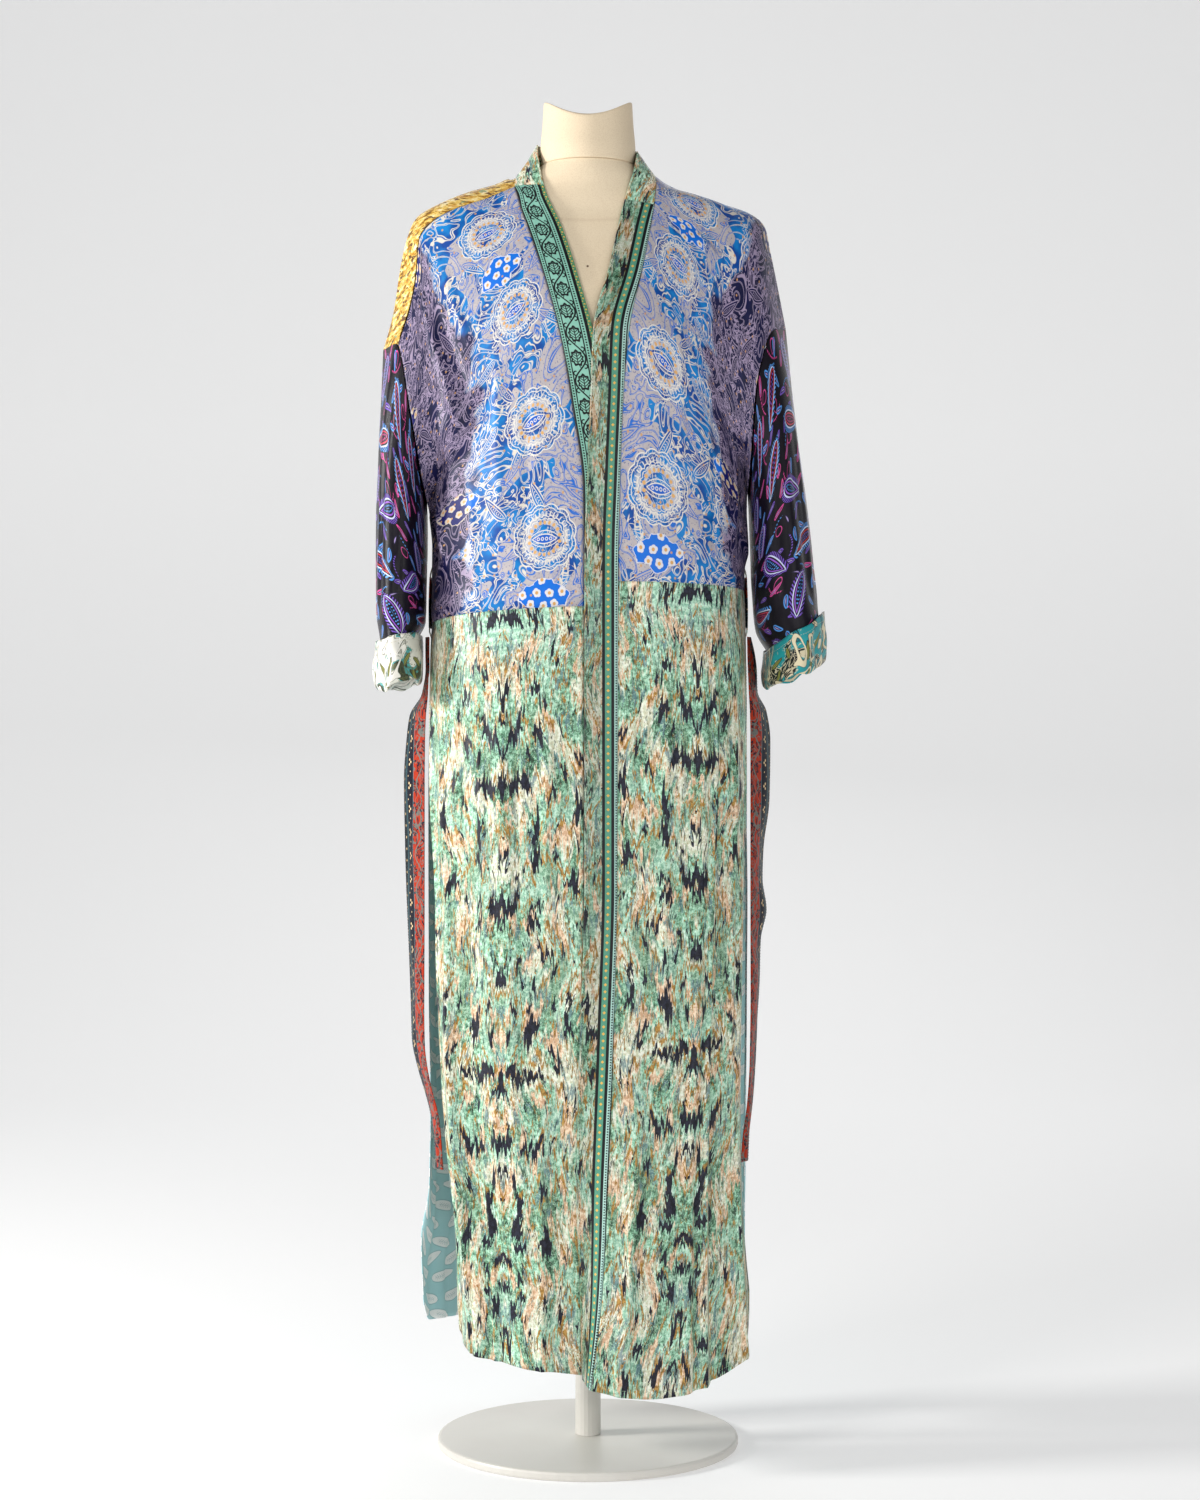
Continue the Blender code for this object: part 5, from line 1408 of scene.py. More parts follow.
# %% Prints of the back
def gold_print():
    finish = Finish("gold_mottle")
    u, v = finish.cloth()
    x = u + v * 0.3
    y = v - u * 0.5
    tone = finish.noise(x, y * 0.6, 7.0, detail=5.0, seed=3.0, rough=0.65)
    ground = finish.ramp(
        tone,
        (
            (0.38, ink(116, 78, 22)),
            (0.45, ink(190, 138, 38)),
            (0.50, ink(230, 190, 88)),
            (0.57, ink(242, 216, 142)),
            (0.66, ink(250, 240, 206)),
        ),
    )
    brown = finish.noise(x, y * 0.45, 6.0, detail=3.0, seed=7.0, rough=0.6).rise(0.57, 0.59)
    ochre = finish.noise(x, y * 0.5, 10.0, detail=4.0, seed=8.0, rough=0.6).rise(0.56, 0.60)
    green = finish.noise(x, y, 12.0, detail=3.0, seed=9.0).rise(0.64, 0.68)
    colour = finish.layers(
        ground,
        (ochre * 0.7, ink(200, 138, 34)),
        (green * 0.7, ink(96, 160, 130)),
        (brown * 0.9, ink(84, 50, 26)),
    )
    return woven(finish, u, v, colour)


def teal_print():
    finish = Finish("teal_paisley")
    u, v = finish.cloth()
    tone = finish.noise(u, v, 22.0, detail=3.0, seed=2.0)
    ground = finish.mix(tone, ink(158, 214, 220), ink(192, 232, 236))
    pale = ink(246, 252, 252)
    x, y, chance = cells(finish, u, v, 37.0, 21.0, seed=4.0, jitter=1.0)
    lean = (chance - 0.5) * 0.9 + 1.57
    sine, cosine = lean.sine(), lean.cosine()
    flip = chance.rise(0.5, 0.501) * 2 - 1
    x, y = (x * cosine - y * sine) * flip, (x * sine + y * cosine) * flip
    shape, side = paisley(x, y, 31.0, 10.5, 4.5)
    vein = ((y + abs(side) * 0.9) % 2.8 - 1.4).line(0.0, 0.42, 0.25) * abs(side).inside(2.6, 0.4)
    fern = vein.higher(abs(side).inside(0.3, 0.2)) * shape.inside(-1.2, 0.3) * y.line(-1.5, 7.0, 1.0)
    curl = distance(x - 2.0, y - 12.5).line(2.0, 0.8, 0.3) * (1 - shape.inside(0.0, 0.3)) * x.rise(0.5, 1.5)
    colour = finish.layers(
        ground,
        (shape.inside(1.9, 0.3) * 0.35, ink(84, 140, 152)),
        (shape.inside(0.9, 0.3).higher(curl), pale),
        (fern * 0.5, ink(130, 176, 184)),
    )
    return woven(finish, u, v, colour)


GOLD = gold_print()
TEAL = teal_print()

# %% Back
BACK_ACROSS = spaced(-1.0, 1.0, 110)
CENTRE_BACK = len(BACK_ACROSS) // 2


def back_place(across, station):
    return dipped(back_point(across, station), station)


upper_back = lay_cloth("back_upper_cloth", back_place, BACK_ACROSS, UPPER_ROWS, GOLD, zero=CENTRE_BACK)
lower_back = lay_cloth("back_lower_cloth", back_place, BACK_ACROSS, LOWER_ROWS, TEAL, zero=CENTRE_BACK)
back_hem = [back_place(-SIDE_IN, row) for row in HEM_ROWS]
back_hem += [back_place(part, HEM_ROWS[-1]) for part in spaced(-SIDE_IN, SIDE_IN, 180)]
back_hem += [back_place(SIDE_IN, row) for row in reversed(HEM_ROWS)]
dress(upper_back, "back_upper")
back_stitches = sew(lower_back, [just_outside(back_hem)], THREAD_CREAM)
dress(lower_back, "back_lower", sewing=[back_stitches])

# %% [markdown]
# A sleeve is a tube that starts at the dropped armhole and hangs beside the body, so it is flattened from
# the side. Its night-dark cloth shows paisleys of blue, magenta and violet, drawn in feathery lines.

# %% Print of the sleeves
NIGHT_BLUE = ink(84, 150, 226)
NIGHT_PINK = ink(214, 76, 150)
NIGHT_VIOLET = ink(118, 84, 190)


def pick(finish, chance, *inks):
    """One of some colours, by chance."""
    colour = inks[0]
    for number, other in enumerate(inks[1:], start=1):
        place = number / len(inks)
        colour = finish.mix(chance.rise(place, place + 0.001), colour, other)
    return colour


def feathered(x, y, length, width, bend):
    """A paisley's masks: its comb of feathers, its pale rim, its inner line and its row of dots."""
    shape, side = paisley(x, y, length, width, bend)
    comb = (y * 1.9 + abs(side) * 1.5).sine().rise(-0.1, 0.3) * shape.line(2.3, 1.8, 0.2)
    rim = shape.line(0.2, 0.55, 0.25)
    inner = shape.line(-2.2, 0.55, 0.25)
    dots = distance(shape + 4.6, y % 3.2 - 1.6).inside(0.75, 0.25)
    return shape, comb, rim, inner, dots


def night_print():
    finish = Finish("night_paisley", sheen=0.0, specular=0.2)
    u, v = finish.cloth()
    u = u * 0.78
    tone = finish.noise(u, v, 18.0, detail=3.0, seed=2.0)
    ground = finish.mix(tone, ink(8, 6, 12), ink(20, 14, 30))
    x, y, chance = cells(finish, u, v, 50.0, 48.0, 3.6, seed=5.0, jitter=3.0)
    hue = pick(finish, chance, NIGHT_BLUE, NIGHT_VIOLET, NIGHT_BLUE)
    other = pick(finish, chance, NIGHT_VIOLET, NIGHT_BLUE, NIGHT_PINK)
    shape, comb, rim, inner, dots = feathered(x, y, 38.0, 15.0, 12.0)
    outside = shape.rise(4.6, 5.2)
    bud_x, bud_y, bud_chance = cells(finish, u + 9.0, v + 21.0, 21.0, 19.0, 6.3, seed=7.0, jitter=3.5)
    bud = paisley(bud_x, bud_y, 13.0, 3.6, 3.0)[0]
    bud_hue = pick(finish, bud_chance, NIGHT_VIOLET, NIGHT_BLUE, NIGHT_PINK)
    chain_x, chain_y, chain_chance = cells(finish, u + 5.0, v + 3.0, 37.0, 31.0, 6.3, seed=11.0, jitter=4.0)
    chain = distance(chain_x % 2.6 - 1.3, chain_y - chain_x * chain_x * 0.03).inside(0.75, 0.3)
    chain = chain * abs(chain_x).inside(11.0, 0.5) * chain_chance.rise(0.12, 0.13)
    flower_turn = chain_y.angle(chain_x)
    flower = distance(chain_x, chain_y - 8.0) - abs((flower_turn * 3).sine()) * 2.4
    colour = finish.layers(
        ground,
        (chain * outside, pick(finish, chain_chance, NIGHT_VIOLET, NIGHT_BLUE, NIGHT_PINK)),
        (bud.inside(0.9, 0.3) * outside * bud_chance.rise(0.12, 0.13), bud_hue),
        (bud.inside(-0.3, 0.3) * outside, ink(24, 20, 50)),
        (bud.inside(-1.1, 0.3) * outside, ink(170, 150, 206)),
        (flower.line(3.2, 0.5, 0.3) * outside * chain_chance.rise(0.5, 0.51), NIGHT_PINK),
        (comb, hue),
        (rim, ink(206, 214, 240)),
        (inner, pick(finish, chance, ink(200, 40, 54), ink(150, 90, 200), ink(206, 60, 90))),
        (dots * shape.inside(-3.0, 0.3), other),
        (shape.line(-7.0, 0.5, 0.3), other),
    )
    return woven(finish, u, v, colour, 0.26, 0.14)


NIGHT = night_print()

# %% [markdown]
# The sleeves, the turned-back cuffs and the sash hang free of the body. Their sizes are level rings and
# strips.

# %% Sizes of sleeves, cuffs and sash
# The sleeves' level rings below the armhole, and the turned-back cuffs
SLEEVE = both_sides(
    ("along", "x", "y", "z", "half_width", "half_depth", "tilt"),
    (
        (0.0, 0.2007, 0.0, 1.109, 0.0237, 0.074, 0.09),
        (0.35, 0.2032, 0.0, 1.03, 0.0255, 0.078, 0.056),
        (0.62, 0.2046, 0.002, 0.96, 0.0256, 0.081, 0.025),
        (0.85, 0.2052, 0.004, 0.908, 0.025, 0.082, 0.004),
        (1.0, 0.2077, 0.004, 0.881, 0.0185, 0.082, -0.004),
    ),
    (
        (0.0, 0.1975, 0.0, 1.126, 0.02, 0.073, 0.096),
        (0.35, 0.2045, 0.0, 1.04, 0.025, 0.078, 0.06),
        (0.62, 0.2116, 0.002, 0.968, 0.0302, 0.081, 0.032),
        (0.85, 0.217, 0.004, 0.917, 0.0315, 0.082, 0.023),
        (1.0, 0.2265, 0.004, 0.888, 0.0255, 0.082, 0.022),
    ),
)
SLEEVE_FOLDS = {
    "right": (
        (-62, 26, 0.005, 0.0, 0.98),
        (-108, 24, -0.0045, 0.02, 0.75),
        (-28, 20, -0.003, 0.15, 0.95),
        (75, 30, 0.005, 0.05, 0.98),
        (125, 26, -0.004, 0.2, 0.98),
    ),
    "left": (
        (-70, 28, 0.005, 0.1, 0.98),
        (-118, 24, -0.0045, 0.12, 0.9),
        (-30, 22, -0.0035, 0.2, 0.98),
        (70, 30, 0.0055, 0.1, 0.98),
        (120, 26, -0.004, 0.15, 0.98),
    ),
}
CUFF_DEEPEST = 0.0475
CUFF_GAP = 0.0016
# From the sleeve's end down inside, round the fold and up outside: drop, and distance out of the sleeve
CUFF_PATH = (
    (0.0, 0.0),
    (0.016, 0.0004),
    (0.033, 0.0008),
    (0.044, 0.0018),
    (0.0475, 0.0042),
    (0.043, 0.0064),
    (0.027, 0.0072),
    (0.01, 0.007),
    (-0.005, 0.0062),
)
CUFF_LINE = Table(("row", "drop", "out"), [(row, *place) for row, place in enumerate(CUFF_PATH)])
CUFF_WAVES = {
    "right": ((2, 20, 0.0030, 0.0030), (3, 75, 0.0022, 0.0040), (7, 10, 0.0010, 0.0018)),
    "left": ((2, 65, 0.0030, 0.0034), (3, 30, 0.0022, 0.0036), (7, 50, 0.0011, 0.0020)),
}
CUFF_HEIGHT = {"right": 1.0, "left": 0.92}
CUFF_LEAN = {"right": 0.0, "left": -0.009}

# The sash: one length across the back, and an end hanging at each side
SASH_LOW = 0.896
SASH_HIGH = 0.952
SASH_OFF_BACK = 0.0025
SASH_END = both_sides(
    ("height", "x_front", "y_front", "x_rear", "y_rear"),
    (
        (0.305, 0.157, -0.032, 0.165, -0.018),
        (0.345, 0.16, -0.03, 0.169, -0.002),
        (0.366, 0.163, -0.028, 0.1735, 0.005),
        (0.388, 0.169, -0.024, 0.18, 0.016),
        (0.408, 0.174, -0.02, 0.1866, 0.026),
        (0.44, 0.1785, -0.013, 0.1949, 0.037),
        (0.485, 0.1795, -0.006, 0.1971, 0.045),
        (0.54, 0.1795, -0.003, 0.1993, 0.048),
        (0.65, 0.1795, 0.0, 0.2037, 0.05),
        (0.728, 0.1795, 0.0, 0.2049, 0.05),
        (0.775, 0.179, 0.0, 0.202, 0.05),
        (0.8, 0.178, -0.001, 0.1985, 0.048),
        (0.822, 0.1758, -0.002, 0.185, 0.042),
        (0.85, 0.1748, -0.003, 0.176, 0.03),
        (0.87, 0.1746, -0.005, 0.1752, 0.016),
        (0.886, 0.1743, -0.006, 0.1747, 0.01),
    ),
    (
        (0.313, 0.166, -0.03, 0.1742, -0.014),
        (0.345, 0.169, -0.028, 0.1765, 0.0),
        (0.375, 0.1735, -0.022, 0.18, 0.013),
        (0.418, 0.177, -0.012, 0.183, 0.033),
        (0.507, 0.1785, -0.003, 0.1905, 0.047),
        (0.551, 0.1785, -0.002, 0.1916, 0.049),
        (0.584, 0.1785, -0.001, 0.1982, 0.049),
        (0.618, 0.1785, 0.0, 0.1938, 0.05),
        (0.651, 0.1785, 0.0, 0.1949, 0.05),
        (0.706, 0.1785, 0.0, 0.2015, 0.049),
        (0.773, 0.1785, 0.0, 0.2026, 0.049),
        (0.805, 0.1778, -0.001, 0.198, 0.045),
        (0.826, 0.1765, -0.002, 0.1875, 0.036),
        (0.85, 0.1755, -0.003, 0.186, 0.03),
        (0.868, 0.1748, -0.005, 0.182, 0.019),
        (0.886, 0.1745, -0.006, 0.1752, 0.01),
    ),
)
SASH_CURL = 0.0030
LOOP_CENTRE = 0.020
LOOP_HALF_WIDTH = 0.004
LOOP_LOW = 0.884
LOOP_HIGH = 0.966
LOOP_OFF = 0.0051
LOOP_FOOT = 0.0021

# %% Surfaces of sleeves and cuffs, and places on the back
RING_POWER = 0.85
RIDGE_EASE = 0.2
ARMHOLE_OUT = 0.0013
UNDERARM_OUT = 0.0036
UNDERARM_DROP = 0.0008
ARMHOLE_BLEND_END = 0.36
CUFF_FOLD_ROW = 4
CUFF_SWING = (0.004, 0.030)
OUTER_SWING = 0.35
CUFF_TALL = 0.7


def squared(level):
    """A cosine, changed so that a ring of such widths is squarer than an oval."""
    return math.copysign(abs(level) ** RING_POWER, level)


def ridges(lines, angle, along, drift=0.0):
    """The height of ridges that run down a sleeve, which may drift round it as they go."""
    height = 0.0
    for middle, width, rise, start, end in lines:
        centre = middle + drift * math.sin(along * 3 + middle)
        height += rise * span(along, start, end, RIDGE_EASE) * math.exp(-(((angle - centre) / width) ** 2))
    return height


def sleeve_point(side, angle, along):
    """A point of the sleeve, from the armhole (0) to its lower end (1)."""
    table = SLEEVE[side]
    turn = math.radians(angle)
    level = math.cos(turn)
    reach = table.at(along, "half_width") * squared(level)
    depth = table.at(along, "half_depth") * math.sin(turn)
    height = ridges(SLEEVE_FOLDS[side], angle, along)
    depth += math.copysign(height, depth) if abs(depth) > 1e-9 else 0.0
    x = SIGN[side] * (table.at(along, "x") + reach)
    tilt = table.at(along, "tilt") * level
    ring = Vector((x, table.at(along, "y") + depth, table.at(along, "z") + tilt))
    seam = armhole(side, angle)
    under = ((1 - level) / 2) ** 3
    seam.x += SIGN[side] * (ARMHOLE_OUT * abs(math.sin(turn)) + UNDERARM_OUT * under)
    seam.z -= SEAM_GAP * max(0.0, level) + UNDERARM_DROP * under
    return seam.lerp(ring, ease(along, 0.0, ARMHOLE_BLEND_END))


def cuff_point(side, angle, row):
    """A point of the turned-back cuff: down inside the sleeve's end, round the fold and up outside it."""
    table = SLEEVE[side]
    drop, out = CUFF_LINE.at(row, "drop"), CUFF_LINE.at(row, "out")
    turn = math.radians(angle)
    level = math.cos(turn)
    drop *= CUFF_HEIGHT[side]
    fall = max(0.0, drop) / CUFF_DEEPEST
    wide, tall = 0.0, 0.0
    for count, start, spread, lift in CUFF_WAVES[side]:
        wave = math.sin(count * turn + math.radians(start))
        wide += spread * wave
        tall += lift * wave
    swing = ease(drop, *CUFF_SWING)
    if row > CUFF_FOLD_ROW:
        swing = mix(OUTER_SWING, 1.0, swing)
    half_width = table.at(1.0, "half_width") + out
    half_depth = table.at(1.0, "half_depth") + out
    reach = half_width * squared(level)
    x = table.at(1.0, "x") + reach + wide * level * swing
    y = table.at(1.0, "y") + (half_depth + wide * swing) * math.sin(turn)
    z = table.at(1.0, "z") + table.at(1.0, "tilt") * level - drop - CUFF_GAP
    z += tall * swing * CUFF_TALL + CUFF_LEAN[side] * level * fall
    return Vector((SIGN[side] * x, y, z))


def back_at_height(across, height):
    """The back's point across at a height, found by halving between two stations."""
    low, high = bisect(lambda station: back_point(across, station).z > height, 1.2, 2.4, 16)
    return back_point(across, (low + high) / 2)


def back_at_depth(side, depth, height):
    """The back's point near the side seam at a depth and a height, found by halving across."""
    low, _ = bisect(lambda part: back_at_height(SIGN[side] * part, height).y > depth, 0.6, 1.0, 14)
    return back_at_height(SIGN[side] * low, height)

# %% Sleeves
SLEEVE_CREASES = {
    "right": (
        (-40, 7, 0.0022, 0.05, 0.97),
        (-52, 5, -0.003, 0.1, 0.9),
        (-84, 9, 0.002, 0.15, 0.8),
        (-96, 6, -0.0016, 0.3, 0.98),
        (-14, 8, 0.0016, 0.35, 1.0),
        (6, 8, -0.0014, 0.2, 0.7),
        (28, 9, 0.0018, 0.1, 0.85),
        (52, 8, -0.0018, 0.3, 0.98),
        (96, 9, 0.002, 0.1, 0.75),
        (145, 9, -0.0014, 0.15, 0.8),
    ),
    "left": (
        (-44, 7, 0.0018, 0.15, 0.97),
        (-58, 6, -0.0022, 0.2, 0.95),
        (-88, 9, 0.0018, 0.25, 0.85),
        (-102, 6, -0.0014, 0.35, 0.98),
        (-12, 8, 0.0014, 0.3, 1.0),
        (14, 8, -0.0014, 0.15, 0.75),
        (36, 9, 0.0018, 0.1, 0.9),
        (58, 8, -0.0016, 0.25, 0.98),
        (92, 9, 0.0018, 0.15, 0.8),
        (140, 9, -0.0014, 0.15, 0.85),
    ),
}
SLEEVE_ANGLES = spaced(-180.0, 180.0, 100)
CREASE_DRIFT = 9


def away_from_arm(side, point, along):
    """The level direction out of a sleeve's flattened ring."""
    return Vector((point.x - SIGN[side] * SLEEVE[side].at(along, "x"), point.y * 0.4, 0)).normalized()


def creased_sleeve(side, angle, along):
    """The sleeve's point with its fine creases, which drift round the arm as they run down."""
    point = sleeve_point(side, angle, along)
    height = ridges(SLEEVE_CREASES[side], angle, along, CREASE_DRIFT)
    return point + away_from_arm(side, point, along) * height


for side in SIGN:
    sleeve = lay_cloth(
        "sleeve_cloth_" + side,
        lambda angle, along: creased_sleeve(side, angle, along),
        SLEEVE_ANGLES,
        spaced(0.0, 1.0, 84),
        NIGHT,
        axis=(SIGN[side] * 0.2, 0.0),
        zero=len(SLEEVE_ANGLES) // 2,
    )
    dress(sleeve, "sleeve_" + side)

# %% [markdown]
# Each cuff is a wide end turned back on itself, so its printed face shows outside and round the fold.
# Turned cloth never lies flat: short creases run across it in all directions, which is what catches the
# light.

# %% Print of the cuffs
def cuff_print(name, ground, other, dark, pale, line):
    finish = Finish(name)
    u, v = finish.cloth()
    tone = finish.noise(u, v, 15.0, detail=3.0, seed=3.0)
    pool = finish.noise(u, v, 26.0, detail=1.0, seed=5.0, warp=1.2)
    band = scrolls(finish, u, v, 52.0, 4.0, 0.13, 9.0, warp=1.6, soft=0.02)
    band_line = scrolls(finish, u, v, 52.0, 4.0, 0.16, 9.0, warp=1.6, soft=0.02)
    fine = scrolls(finish, u, v, 15.0, 6.0, 0.13, 15.0, warp=1.6)
    x, y, chance = cells(finish, u, v, 24.0, 20.0, 6.3, seed=3.0, jitter=3.0)
    leaf, side = paisley(x, y, 19.0, 6.0, 4.0)
    shown = chance.rise(0.3, 0.31)
    colour = finish.layers(
        finish.mix(tone, ground[0], ground[1]),
        (pool.rise(0.52, 0.55), other),
        (pool.rise(0.60, 0.61), dark),
        (fine * pool.rise(0.46, 0.49) * 0.85, line),
        (leaf.inside(0.6, 0.3) * shown, dark),
        (leaf.inside(-0.4, 0.3) * shown, pick(finish, chance, pale, ink(140, 140, 70), ground[0])),
        (abs(side).inside(0.25, 0.2) * leaf.inside(-0.8, 0.3) * shown, dark),
        (band_line, dark),
        (band, pale),
    )
    return woven(finish, u, v, colour, 0.32, 0.14)


CUFF_CREAM = cuff_print(
    "cream_scroll",
    (ink(214, 212, 200), ink(240, 238, 230)),
    ink(74, 160, 160),
    ink(52, 58, 44),
    ink(240, 236, 226),
    ink(96, 100, 68),
)
CUFF_TEAL = cuff_print(
    "teal_scroll",
    (ink(10, 120, 130), ink(40, 168, 170)),
    ink(20, 48, 48),
    ink(12, 18, 18),
    ink(222, 210, 176),
    ink(222, 210, 176),
)
CUFF_FINISH = {"right": CUFF_CREAM, "left": CUFF_TEAL}

# %% Cuffs
CUFF_STITCH_ROW = 7.5
CUFF_OUTER_ROWS = (3.6, 4.6)
CUFF_ROW_ANGLE = 12
CUFF_CREASE_ROWS = 1.7
CUFF_CREASE_LIFT = 1.5
CUFF_CREASE_POWER = 1.5
CUFF_ANGLES = spaced(-180.0, 180.0, 150)
CUFF_CREASES = {
    "right": (
        (-150, 12, 5.6, 0.0022, 0.5),
        (-112, 9, 6.2, -0.0024, -0.8),
        (-88, 10, 5.2, 0.0026, 0.7),
        (-62, 8, 6.6, -0.0022, 0.6),
        (-36, 9, 5.6, 0.0024, -0.9),
        (-8, 10, 6.4, -0.002, 0.8),
        (24, 11, 5.4, 0.0024, 0.5),
        (60, 12, 6.2, -0.002, -0.7),
        (98, 12, 5.6, 0.0022, 0.9),
        (140, 12, 6.2, -0.0016, 0.4),
    ),
    "left": (
        (-140, 12, 6.0, 0.002, -0.5),
        (-104, 9, 5.4, -0.0024, 0.8),
        (-78, 10, 6.4, 0.0024, -0.7),
        (-50, 8, 5.6, -0.0024, 0.9),
        (-24, 9, 6.2, 0.0024, 0.6),
        (6, 10, 5.4, -0.002, -0.8),
        (36, 11, 6.4, 0.0022, 0.7),
        (72, 12, 5.6, -0.002, 0.5),
        (112, 12, 6.2, 0.002, -0.9),
        (150, 12, 5.6, -0.0016, 0.4),
    ),
}


def creased_cuff(side, angle, row):
    """The cuff's point with slanting creases on its outer face."""
    point = cuff_point(side, angle, row)
    height = 0.0
    for middle, width, place, rise, slant in CUFF_CREASES[side]:
        across = (angle - middle + slant * (row - place) * CUFF_ROW_ANGLE) / width
        down = (row - place) / CUFF_CREASE_ROWS
        height += CUFF_CREASE_LIFT * rise * math.exp(-(abs(across) ** CUFF_CREASE_POWER) - down**2)
    return point + away_from_arm(side, point, 1.0) * height * ease(row, *CUFF_OUTER_ROWS)


for side in SIGN:
    cuff = lay_cloth(
        "cuff_cloth_" + side,
        lambda angle, row: creased_cuff(side, angle, row),
        CUFF_ANGLES,
        spaced(0.0, 8.0, 44),
        CUFF_FINISH[side],
        axis=(SIGN[side] * SLEEVE[side].at(1.0, "x"), 0.0),
        zero=len(CUFF_ANGLES) // 2,
        offset=0.0,
    )
    axis = Vector((SIGN[side] * SLEEVE[side].at(1.0, "x"), 0, 0))
    edge = [creased_cuff(side, angle, CUFF_STITCH_ROW) for angle in CUFF_ANGLES]
    edge = [point + Vector((point.x - axis.x, point.y * 0.4, 0)).normalized() * NEAR for point in edge]
    dress(cuff, "cuff_" + side, sewing=[sew(cuff, [edge], THREAD_CREAM)])

# %% [markdown]
# The sash belongs to the robe. It crosses the back under two narrow loops, and its ends hang at the sides.
# It is rust with navy flowers, and a wide navy border with cream dots runs down one edge. The ends turn a
# little as they hang.

# %% Print of the sash
SASH_WIDTH = 56.0
SASH_BORDER = 33.0
SASH_PITCH = 26.0
SASH_PETALS = ((23.0, 11.0, 1.5), (26.2, 13.6, 1.5), (22.8, 16.2, 1.5), (25.6, 24.0, 0.9), (20.4, 3.0, 0.9))


def rust_print():
    finish = Finish("rust_sash", sheen=0.0, specular=0.12)
    u, v = finish.cloth()
    across = finish.panel()[0]
    from_edge = (1 - across) * SASH_WIDTH
    tone = finish.noise(u, v, 14.0, detail=3.0, seed=3.0)
    ground = finish.mix(tone, ink(150, 34, 12), ink(184, 56, 24))
    x, y, _ = cells(finish, u, v, 21.0, 23.0, 6.3, seed=4.0, jitter=2.5)
    flower = distance(x, y) - abs((y.angle(x) * 3.5).sine()) * 3.6
    stem = (from_edge - 45.0 + (v * 0.16).sine() * 6.0).line(0.0, 1.0, 0.3)
    twig = scrolls(finish, u, v, 22.0, 5.0, 0.10, 6.0, warp=1.4)
    leaf_x, leaf_y, leaf_chance = cells(finish, u + 7.0, v + 5.0, 10.0, 11.0, 6.3, seed=9.0, jitter=2.0)
    leaf = paisley(leaf_x, leaf_y, 9.0, 2.8, 1.0)[0]
    petals = from_edge * 0.0
    for across_place, down_place, radius in SASH_PETALS:
        spot = distance(from_edge - across_place, v % SASH_PITCH - down_place)
        petals = petals.higher(spot.inside(radius, 0.25))
    colour = finish.layers(
        ground,
        (leaf.inside(0.0, 0.3) * leaf_chance.rise(0.30, 0.31), ink(26, 24, 40)),
        (flower.inside(4.2, 0.3), ink(22, 20, 38)),
        (flower.inside(1.6, 0.3), ink(142, 48, 28)),
        (stem.higher(twig * 0.9), ink(104, 112, 106)),
        (from_edge.inside(SASH_BORDER, 0.2), ink(84, 110, 118)),
        (from_edge.inside(SASH_BORDER - 1.2, 0.2), finish.mix(tone, ink(8, 10, 20), ink(24, 26, 42))),
        (petals, ink(226, 196, 150)),
        (from_edge.inside(16.0, 0.2), finish.mix(tone, ink(3, 14, 22), ink(6, 26, 34))),
        (from_edge.line(13.0, 0.4, 0.2).higher(from_edge.line(16.0, 0.5, 0.2)), ink(70, 118, 126)),
        (distance(from_edge - 7.0, v % 13.0 - 6.5).inside(1.4, 0.25), ink(206, 176, 130)),
    )
    return woven(finish, u, v, colour, 0.34, 0.14)


RUST = rust_print()

# %% Sash and loops
SASH_IN = 0.0025
SASH_EDGE = 0.0004
SASH_SAG = ((0.0012, 7), (0.0008, 17))
SASH_CROWN = 0.0006
SASH_RIPPLE = 0.0009
SASH_RIPPLE_PACE = 41
LOOP_SHAPE = Table(
    ("height", "off"),
    (
        (LOOP_LOW, LOOP_FOOT),
        (LOOP_LOW + 0.004, LOOP_OFF * 0.7),
        (LOOP_LOW + 0.010, LOOP_OFF),
        (LOOP_HIGH - 0.012, LOOP_OFF),
        (LOOP_HIGH - 0.005, LOOP_OFF * 0.7),
        (LOOP_HIGH, LOOP_FOOT),
    ),
)


def sash_over_back(height, across):
    """A point of the sash, lying on the back with a slight sag."""
    point = back_at_height(across, height)
    middle = (SASH_LOW + SASH_HIGH) / 2
    sag = sum(rise * math.sin(across * pace) for rise, pace in SASH_SAG)
    crown = SASH_CROWN * (1 - ((height - middle) / (SASH_HIGH - middle)) ** 2)
    point += outward(point) * (SASH_OFF_BACK + crown)
    return point + Vector((0, 0, sag))


def sash_hanging(side, across, height):
    """A point of a hanging end, from its front edge (0) to its rear edge (1)."""
    table = SASH_END[side]
    x = mix(table.at(height, "x_front"), table.at(height, "x_rear"), across)
    y = mix(table.at(height, "y_front"), table.at(height, "y_rear"), across)
    bend = SASH_CURL * math.sin(across * math.pi)
    bend += SASH_RIPPLE * math.sin(height * SASH_RIPPLE_PACE) * math.sin(across * 2 * math.pi)
    return Vector((SIGN[side] * (x + bend), y, height))


def make_sash(name, node, place, across, down, stitch_lines):
    """One length of the sash, sewn along both edges."""
    cloth = lay_cloth("sash_cloth_" + name, place, across, down, RUST, SASH_WALL)
    round_edges(cloth, SASH_EDGE)
    dress(cloth, node, sewing=[sew(cloth, stitch_lines, THREAD_DARK)])


def hang_sash(side):
    """The sash's end at one side."""

    def place(across, height):
        return sash_hanging(side, across, height)

    keys = SASH_END[side].keys
    heights = spaced(keys[-1], keys[0], 150)
    aside = Vector((SIGN[side] * NEAR, 0, 0))
    edges = [[place(part, height) + aside for height in heights] for part in BAND_STITCHES]
    make_sash(side, "sash_end_" + side, place, spaced(0.0, 1.0, 14), heights, edges)


